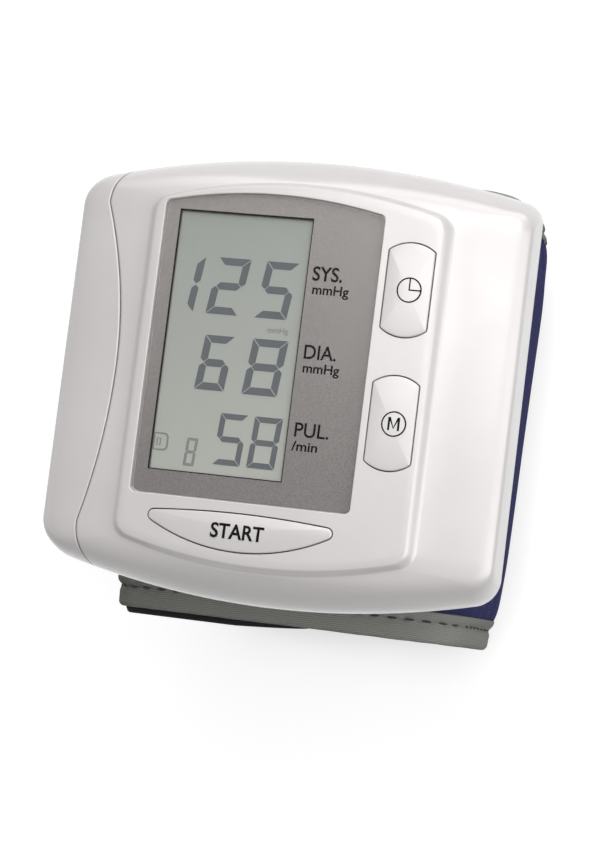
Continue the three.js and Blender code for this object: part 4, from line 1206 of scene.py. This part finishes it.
def walk(sizes, start, end, step):
    """Stations along the ring: (angle, length so far, point, outward direction)."""
    count = max(2, round(abs(end - start) / step))
    stations, length, last = [], 0.0, None
    for i in range(count + 1):
        angle = between(start, end, i / count)
        point = ring_point(sizes, angle)
        along = ring_point(sizes, angle + 0.5) - ring_point(sizes, angle - 0.5)
        out = Vector((along.y, -along.x)).normalized()
        if last is not None:
            length += (point - last).length
        last = point
        stations.append((angle, length, point, out))
    return stations


def askew(spot, y):
    """Where a point of the ring is at y: the cuff sits a little askew, and further out at the
    top of the display than below it."""
    return spot.x + SKEW * y, y + UPPER_REACH * clamped(y / PAD_EDGE), spot.y


def drawn(y):
    """How far the padding is drawn in at y by the sewn edges, 1 at the edge."""
    return min(1.0, (abs(y) / PAD_EDGE) ** CUFF["crown_power"])


def pucker(y, length, seed):
    """Small gathers along the sewn edges, and a slow unevenness of the padding."""
    near = clamped((abs(y) - 0.7 * PAD_EDGE) / (0.2 * PAD_EDGE))
    fade = clamped((PAD_EDGE - abs(y)) / 1.5)
    turn = 1.6 * noise.noise(Vector((length / 9, y / 7, seed)))
    gather = GATHER * near * fade * math.sin(length * GATHER_TURN + turn)
    wave = WAVE * (1 - drawn(y)) * noise.noise(Vector((length / 16, y / 18, seed + 4)))
    return gather + wave


def band(name, sizes, start, end, section, step=1.5, close_end=0.0):
    """A band that follows the ring. section(length) gives its outline there, as points of
    y and how far out from the ring. Its far end is rounded off over close_end."""
    stations = walk(sizes, start, end, step)
    total = stations[-1][1]
    rings, lengths = [], []
    for angle, length, point, out in stations:
        outline = section(length)
        pinch, rest = 1.0, total - length
        if rest < close_end:
            pinch = math.sqrt(max(0.0, 1 - (1 - rest / close_end) ** 2)) * 0.96 + 0.04
        middle = sum(o for y, o in outline) / len(outline)
        ring = []
        for y, o in outline:
            o = middle + (o - middle) * pinch
            x, y, z = askew(point + out * o, y)
            ring.append((x, y, max(z, 0.0)))
        rings.append(ring)
        lengths.append(length)
    obj = loft(name, rings, sharp=50)
    add_band_uv(obj, rings, lengths)
    return obj


def add_band_uv(obj, rings, lengths):
    """UV in millimetres: along the ring, and round the section."""
    count = len(rings[0])
    middle = [Vector(point) for point in rings[len(rings) // 2]]
    round_section = [0.0]
    for k in range(1, count + 1):
        step = middle[k % count] - middle[k - 1]
        round_section.append(round_section[-1] + step.length)
    layer = obj.data.uv_layers.new(name="cloth")
    for face in obj.data.polygons:
        index = [obj.data.loops[i].vertex_index for i in face.loop_indices]
        wraps = len(index) == 4 and {i % count for i in index} == {0, count - 1}
        for loop_index, vertex in zip(face.loop_indices, index):
            row, k = divmod(vertex, count)
            v = round_section[count] if wraps and k == 0 else round_section[k]
            layer.data[loop_index].uv = (lengths[row], v)


def layer_section(outer, inner, seed):
    """The section of a layer of the padding. outer and inner give its two faces from y and
    the length along the band."""
    ys = [CLOTH_EDGE * math.sin(math.pi / 2 * (i / 22 - 1)) for i in range(45)]

    def section(length):
        top = [(y, outer(y, length) + pucker(y, length, seed)) for y in ys]
        low = [(y, inner(y, length)) for y in reversed(ys)]
        return top + low

    return section


def outer_face(y):
    return -EDGE_SINK * drawn(y)


EDGE_DEPTH = EDGE_SINK + 2 * EDGE_THICKNESS + SEAT_GAP


def inner_face(y, thickness):
    return -between(thickness, EDGE_DEPTH, drawn(y))


def strap_thickness(length):
    """The strap starts as thick as the base that it is sewn to."""
    share = clamped(length / STRAP_TAPER)
    return between(BASE_THICKNESS, STRAP_THICKNESS, eased(share))


def binding_section(side, thickness):
    """A flap on either face, a stitched crease that dips at each stitch, and a flat bead
    beyond it. thickness takes the length along the band."""
    crease, end = PAD_EDGE, PAD_EDGE + (BEAD if side < 0 else UPPER_BEAD)
    tip = crease - FLAP

    def section(length):
        thick = thickness(length)
        dip = CREASE_DIP * math.cos(math.pi * length / STITCH_PITCH) ** 6
        wander = 0.06 * noise.noise(Vector((length / 3.2, side * 5.0, thick)))
        outer_tip = outer_face(tip) + FLAP_THICKNESS
        inner_tip = inner_face(tip, thick) - FLAP_THICKNESS
        points = [(tip, outer_tip - FLAP_THICKNESS), (tip + 0.04, outer_tip - 0.12),
                  (tip + 0.2, outer_tip)]
        sway = 0.1 * math.sin(2 * math.pi * length / STITCH_PITCH + 1.0) + 2 * wander
        points += [(crease - 0.75, between(outer_tip, BEAD_TOP, 0.5) + 0.16 - 0.08 * dip),
                   (crease - 0.35 + sway, BEAD_TOP + 0.16 - 0.14 * dip),
                   (crease + sway, BEAD_TOP - 0.34 - 0.14 * dip),
                   (crease + 0.3 + sway, BEAD_TOP - 0.04 - 0.14 * dip),
                   (crease + 0.75, BEAD_TOP + 0.1 + wander)]
        for turn_x, turn_o, start in ((end, BEAD_TOP, 90), (end, BEAD_LOW, 0)):
            o = turn_o + (-BEAD_CORNER if start else BEAD_CORNER)
            for i in range(7):
                a = math.radians(start - 90 * i / 6)
                points.append((turn_x - BEAD_CORNER + (BEAD_CORNER + wander) * math.cos(a),
                               o + (BEAD_CORNER + wander) * math.sin(a)))
        points += [(crease + 0.8, BEAD_LOW - 0.06), (crease + 0.3, BEAD_LOW + 0.02 + 0.1 * dip),
                   (crease, BEAD_LOW + 0.14 + 0.14 * dip),
                   (crease - 0.3, BEAD_LOW - 0.08 + 0.12 * dip),
                   (crease - 0.7, between(inner_tip, BEAD_LOW, 0.55) - 0.1)]
        points += [(tip + 0.2, inner_tip), (tip + 0.04, inner_tip + 0.12),
                   (tip, inner_tip + FLAP_THICKNESS)]
        return [(side * y, o) for y, o in points]

    return section


class Repeat(Tree):
    """A geometry node tree under construction, with named inputs."""

    def __init__(self, name, **inputs):
        super().__init__(bpy.data.node_groups.new(name, "GeometryNodeTree"))
        face = self.tree.interface
        face.new_socket("Geometry", in_out="INPUT", socket_type="NodeSocketGeometry")
        self.keys = {}
        for key, value in inputs.items():
            kind = "NodeSocketInt" if isinstance(value, int) else "NodeSocketFloat"
            socket = face.new_socket(key.replace("_", " "), in_out="INPUT", socket_type=kind)
            self.keys[socket.identifier] = value
        face.new_socket("Geometry", in_out="OUTPUT", socket_type="NodeSocketGeometry")
        self.source = self.tree.nodes.new("NodeGroupInput")
        self.end = self.tree.nodes.new("NodeGroupOutput")

    def given(self, key):
        return self.source.outputs[key.replace("_", " ")]

    def grow(self, obj, instances, material):
        """Ends the tree, runs it on an object and leaves a plain mesh."""
        real = self.node("GeometryNodeRealizeInstances", {"Geometry": instances})
        smooth = self.node("GeometryNodeSetShadeSmooth", {"Geometry": real.outputs[0]})
        finish = self.node("GeometryNodeSetMaterial",
                           {"Geometry": smooth.outputs[0], "Material": material})
        self.tree.links.new(finish.outputs[0], self.end.inputs[0])
        modifier = obj.modifiers.new("repeat", "NODES")
        modifier.node_group = self.tree
        for key, value in self.keys.items():
            modifier[key] = value
        bake(obj)


def stitch_row(name, path):
    """Threads laid along a path, one each pitch."""
    mesh = bpy.data.meshes.new(name)
    edges = [(i, i + 1) for i in range(len(path) - 1)]
    mesh.from_pydata([Vector(p) * MM for p in path], edges, [])
    obj = put(name, mesh)
    made = Repeat("stitching", Pitch=STITCH_PITCH * MM, Stitch_Length=STITCH_LENGTH * MM,
                  Thread=THREAD_THICKNESS * MM)
    curve = made.node("GeometryNodeMeshToCurve", {0: made.given("Geometry")})
    row = made.node("GeometryNodeResampleCurve", {"Curve": curve.outputs[0],
                                                  "Length": made.given("Pitch")}, mode="LENGTH")
    thread = made.node("GeometryNodeMeshUVSphere", {"Segments": 8, "Rings": 5, "Radius": 0.5})
    turn = made.node("FunctionNodeAlignRotationToVector",
                     {"Vector": made.node("GeometryNodeInputTangent").outputs[0]}, axis="X")
    size = made.node("ShaderNodeCombineXYZ", {0: made.given("Stitch_Length"),
                                              1: made.given("Thread"), 2: made.given("Thread")})
    laid = made.node("GeometryNodeInstanceOnPoints", {
        "Points": row.outputs[0], "Instance": thread.outputs["Mesh"],
        "Rotation": turn.outputs[0], "Scale": size.outputs[0]})
    made.grow(obj, laid.outputs[0], THREAD)
    return obj


def stitch_path(sizes, start, end, y, depth):
    """Stations along a crease, short of the tape's ends."""
    stations = walk(sizes, start, end, 0.75)
    total = stations[-1][1]
    path = [askew(point + out * depth, y) for angle, length, point, out in stations
            if STITCH_MARGIN <= length <= total - STITCH_MARGIN]
    return [(x, y, max(z, 0.2)) for x, y, z in path]


def hook_field(name, depth):
    """Rows of small hooks that stand inwards on the closure tape, short of its edges."""
    start, end = HOOK_ANGLES
    stations = walk(STRAP_RING, start + HOOK_END_MARGIN, end - HOOK_END_MARGIN, HOOK_STEP)
    reach = HOOK_HALF_WIDTH - HOOK_SIDE_MARGIN
    ys = [between(-reach, reach, i / 44) for i in range(45)]
    points, faces = [], []
    for angle, length, point, out in stations:
        spot = point - out * depth
        points += [askew(spot, y) for y in ys]
    for row in range(len(stations) - 1):
        for k in range(len(ys) - 1):
            a = row * len(ys) + k
            faces.append((a, a + 1, a + 1 + len(ys), a + len(ys)))
    obj = make_object(name, points, faces)
    middle = obj.data.polygons[len(faces) // 2]
    inwards = Vector((CUFF["x"], 0, RING_Z)) * MM - middle.center
    if middle.normal.dot(inwards) < 0:
        obj.data.flip_normals()
    made = Repeat("hook_tape", Hook_Height=HOOK_HEIGHT * MM, Hook_Radius=HOOK_RADIUS * MM,
                  Lean=0.35, Seed=7)
    hook = made.node("GeometryNodeMeshCone", {
        "Vertices": 6, "Radius Top": made.math("MULTIPLY", made.given("Hook_Radius"), 0.55),
        "Radius Bottom": made.given("Hook_Radius"), "Depth": made.given("Hook_Height")})
    normal = made.node("GeometryNodeInputNormal").outputs[0]
    chance = made.node("FunctionNodeRandomValue", {"Seed": made.given("Seed")},
                       data_type="FLOAT_VECTOR")
    made.join(made.math("SUBTRACT", 0.0, made.given("Lean")), chance.inputs["Min"])
    made.join(made.given("Lean"), chance.inputs["Max"])
    leaning = made.node("ShaderNodeVectorMath", {0: normal, 1: chance.outputs["Value"]},
                        operation="ADD")
    turn = made.node("FunctionNodeAlignRotationToVector", {"Vector": leaning.outputs[0]},
                     axis="Z")
    laid = made.node("GeometryNodeInstanceOnPoints", {
        "Points": made.given("Geometry"), "Instance": hook.outputs["Mesh"],
        "Rotation": turn.outputs[0]})
    made.grow(obj, laid.outputs[0], HOOK)
    return obj


SIM_SCALE = 10
SIM_FRAMES = 20
SIM_PRESSURE = 4.0
SIM_SLACK = 0.02
SMOOTHINGS = 8


def swell(obj, room):
    """Blows a padded band up as cloth that is held at its seams. room says how far a point
    may move, in millimetres, and 0 holds it."""
    test = put("swelling", obj.data.copy())
    rooms = [room(vertex.co / MM) for vertex in obj.data.vertices]
    for vertex in test.data.vertices:
        vertex.co *= SIM_SCALE
    held = test.vertex_groups.new(name="seams")
    held.add([i for i, free in enumerate(rooms) if free <= 0], 1.0, "REPLACE")
    cloth = test.modifiers.new("cloth", "CLOTH")
    settings = cloth.settings
    settings.quality = 6
    settings.use_pressure = True
    settings.uniform_pressure_force = SIM_PRESSURE
    settings.shrink_min = -SIM_SLACK
    settings.bending_stiffness = 0.15
    settings.tension_stiffness = settings.compression_stiffness = 20
    settings.vertex_group_mass = "seams"
    settings.effector_weights.gravity = 0
    cloth.collision_settings.use_collision = False
    cloth.collision_settings.use_self_collision = False
    cloth.point_cache.frame_start = 1
    cloth.point_cache.frame_end = SIM_FRAMES
    for number in range(1, SIM_FRAMES + 1):
        bpy.context.scene.frame_set(number)
    result = evaluated(test).data
    moves = []
    for vertex, done, free in zip(obj.data.vertices, result.vertices, rooms):
        move = done.co / SIM_SCALE - vertex.co
        limit = free * MM
        if move.length > limit:
            move = move.normalized() * limit * math.tanh(move.length / max(limit, 1e-9))
        moves.append(move)
    bpy.data.objects.remove(test)
    bpy.context.scene.frame_set(1)
    near = [[] for _ in moves]
    for edge in obj.data.edges:
        a, b = edge.vertices
        near[a].append(b)
        near[b].append(a)
    for _ in range(SMOOTHINGS):
        moves = [(move + sum((moves[j] for j in around), Vector())) / (len(around) + 1)
                 if free > 0 else move
                 for move, around, free in zip(moves, near, rooms)]
    for vertex, move in zip(obj.data.vertices, moves):
        vertex.co += move
        vertex.co.z = max(vertex.co.z, 0.0)
    shade(obj, 50)


def cloth_room(most, *shut):
    """How far the padding may swell at a point: nothing at the seams, and between the angles
    of each row of shut only as much as that row says."""

    def room(spot):
        y = abs(spot.y) / (1 + UPPER_REACH / PAD_EDGE if spot.y > 0 else 1)
        edge = clamped((CLOTH_EDGE - 0.4 - y) / 3.0)
        angle = math.degrees(math.atan2(spot.z - RING_Z, spot.x - CUFF["x"])) % 360
        free = most
        for low, high, least in shut:
            inside = min((angle - low) / 6.0, (high - angle) / 6.0)
            free = between(free, least, clamped(inside + 1))
        return free * edge

    return room


def make_cuff():
    hinge = CUFF["hinge"]
    base = (BASE_RING, hinge, CUFF["base_end"])
    strap = (STRAP_RING, hinge, CUFF["strap_end"])
    cover = band("cuff_outer_cloth", *base, layer_section(
        lambda y, length: outer_face(y),
        lambda y, length: outer_face(y) - between(COVER_THICKNESS, EDGE_THICKNESS, drawn(y)),
        1.0), close_end=LAYER_END)
    swell(cover, cloth_room(*COVER_SWELL))
    dress(cover, "monitor", NAVY, "cuff_cover", slot="navy_fabric")
    lining = band("cuff_lining_cloth", *base, layer_section(
        lambda y, length: inner_face(y, BASE_THICKNESS)
        + between(LINING_THICKNESS, EDGE_THICKNESS, drawn(y)),
        lambda y, length: inner_face(y, BASE_THICKNESS),
        2.0), close_end=LAYER_END)
    dress(lining, "monitor", LINING, "cuff_lining", slot="dark_fabric")
    pad = band("strap_pad", *strap, layer_section(
        lambda y, length: outer_face(y),
        lambda y, length: inner_face(y, strap_thickness(length)), 3.0), close_end=LAYER_END)
    swell(pad, cloth_room(*STRAP_SWELL))
    finish_strap(pad, NAVY, "cuff_strap")
    for word, side in (("lower", -1), ("upper", 1)):
        tape = band(f"base_binding_{word}", *base,
                    binding_section(side, lambda length: BASE_THICKNESS), step=1.0,
                    close_end=TAPE_END)
        dress(tape, "monitor", BINDING, f"cuff_binding_{word}", slot="grey_binding")
        tape = band(f"strap_tape_{word}", *strap, binding_section(side, strap_thickness),
                    step=1.0, close_end=TAPE_END)
        finish_strap(tape, BINDING, f"strap_binding_{word}")
        y = side * PAD_EDGE
        for face, depth in STITCH_DEPTHS.items():
            row = stitch_row(f"base_stitches_{word}_{face}", stitch_path(*base, y, depth))
            dress(row, "monitor", THREAD)
            row = stitch_row(f"strap_stitches_{word}_{face}", stitch_path(*strap, y, depth))
            finish_strap(row, THREAD)
    edge = band("lining_edge", BASE_RING, *LINING_EDGE_ANGLES, lining_edge_section)
    dress(edge, "monitor", LINING)
    tape = band("hook_tape", STRAP_RING, *HOOK_ANGLES, lambda length: tape_outline(), step=3.0)
    dress(tape, "strap", HOOK, "hook_pad", slot="dark_fabric")
    hooks = hook_field("tape_hooks", STRAP_THICKNESS + SEAT_GAP + HOOK_SINK)
    dress(hooks, "strap", HOOK)


def lining_edge_section(length):
    """The lining's rolled edge, which shows beyond the lower bead on the left."""
    grow = min(1.0, length / 12.0) ** 0.7
    y, o = -CUFF["length"] / 2, -3.5
    turns = [math.pi * (i / 6 - 1) + math.pi / 2 for i in range(12)]
    return [(y + 0.6 - (0.6 + 0.95 * grow) * math.cos(a), o + 0.75 * math.sin(a)) for a in turns]


def tape_outline():
    top = -STRAP_THICKNESS - SEAT_GAP
    low = top - HOOK_TAPE
    w = HOOK_HALF_WIDTH
    return [(-w, top), (w, top), (w, low + 0.1), (w - 0.1, low), (-w + 0.1, low), (-w, low + 0.1)]


def finish_strap(obj, material, node=None):
    """Gives a strap piece its material, hides the node it replaces if one is named, and bakes its
    transform into its mesh.
    """
    obj.data.materials.clear()
    obj.data.materials.append(material)
    if node:
        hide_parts(node)
    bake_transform(obj)


# ------------------------------------------------------------------ floor and light

FLOOR_GLOW = 0.84
FLOOR_SHADE = 0.4
FLOOR_BOUNCE = 0.12
# Depth and reach of the painted contact shadow, which dims the floor's glow close to the object
CONTACT_SHADE = 0.45
CONTACT_REACH = 9.0
WORLD_LIGHT = 0.12
# Name, place, width and height, watts, and the point that it faces
LAMPS = (
    ("softbox", (30, 165, 430), (240, 300), 0.62, (10, 20, 60)),
    ("right", (240, -40, 250), (260, 340), 0.46, (36, -8, 60)),
    ("behind", (20, 360, 210), (440, 260), 0.6, (0, 20, 60)),
    ("left", (-420, -60, 120), (250, 200), 0.06, (-30, 0, 60)),
)


def add_floor():
    """A pale floor that the camera sees as white. The object's soft shadow is kept, and there is
    a painted contact shadow where the floor's glow is dimmed close to the object.
    """
    points = [(-3000, -3000, 0), (3000, -3000, 0), (3000, 3000, 0), (-3000, 3000, 0)]
    floor = make_object("floor", points, [(0, 1, 2, 3)])
    finish = Finish("floor_white")
    finish.set(Roughness=0.9, Specular_IOR_Level=0)
    seen = finish.seen("Glossy", "Transmission")
    finish.link(finish.shades(seen, (FLOOR_BOUNCE,) * 3, (FLOOR_SHADE,) * 3), "Base Color")
    # Ambient occlusion dims the glow close to the object: a painted contact shadow.
    near = finish.node("ShaderNodeAmbientOcclusion", {"Distance": CONTACT_REACH * MM}, samples=8)
    open_sky = finish.spread(near.outputs["AO"], 1 - CONTACT_SHADE, 1.0, 0.0, 1.0)
    strength = finish.math("MULTIPLY", seen, finish.math("MULTIPLY", open_sky, FLOOR_GLOW))
    glow = finish.node("ShaderNodeEmission", {"Color": (1, 1, 1, 1), "Strength": strength})
    both = finish.node("ShaderNodeAddShader", {0: finish.shader.outputs[0], 1: glow.outputs[0]})
    finish.join(both.outputs[0], finish.tree.nodes["Material Output"].inputs["Surface"])
    floor.data.materials.append(finish.material)


def add_lamp(name, place, size, power, target):
    data = bpy.data.lights.new(name, "AREA")
    data.shape = "RECTANGLE"
    data.size, data.size_y = size[0] * MM, size[1] * MM
    data.energy = power
    lamp = put(name, data)
    place, target = Vector(place) * MM, Vector(target) * MM
    turn = (target - place).to_track_quat("-Z", "Y").to_matrix().to_4x4()
    lamp.matrix_world = Matrix.Translation(place) @ turn


def add_light():
    """A white world that lights the object only a little, and four lamps."""
    world = bpy.data.worlds.new("studio")
    world.use_nodes = True
    sky = Tree(world.node_tree)
    background = sky.tree.nodes["Background"]
    background.inputs["Color"].default_value = (1, 1, 1, 1)
    strength = sky.spread(sky.seen("Glossy"), WORLD_LIGHT, 1.0, 0.0, 1.0)
    sky.join(strength, background.inputs["Strength"])
    bpy.context.scene.world = world
    for row in LAMPS:
        add_lamp(*row)


# ------------------------------------------------------------------ everything together

bpy.context.scene.view_settings.view_transform = "Standard"
add_camera()
add_floor()
add_light()
finish_carried_nodes()
make_front_shell()
make_rear_shell()
make_battery_cover()
for key_word, key_shape in KEY_OUTLINES.items():
    make_button(f"{key_word}_cap", f"{key_word}_button", key_shape, f"{key_word}_key")
make_display()
make_readings()
make_lettering()
make_cuff()
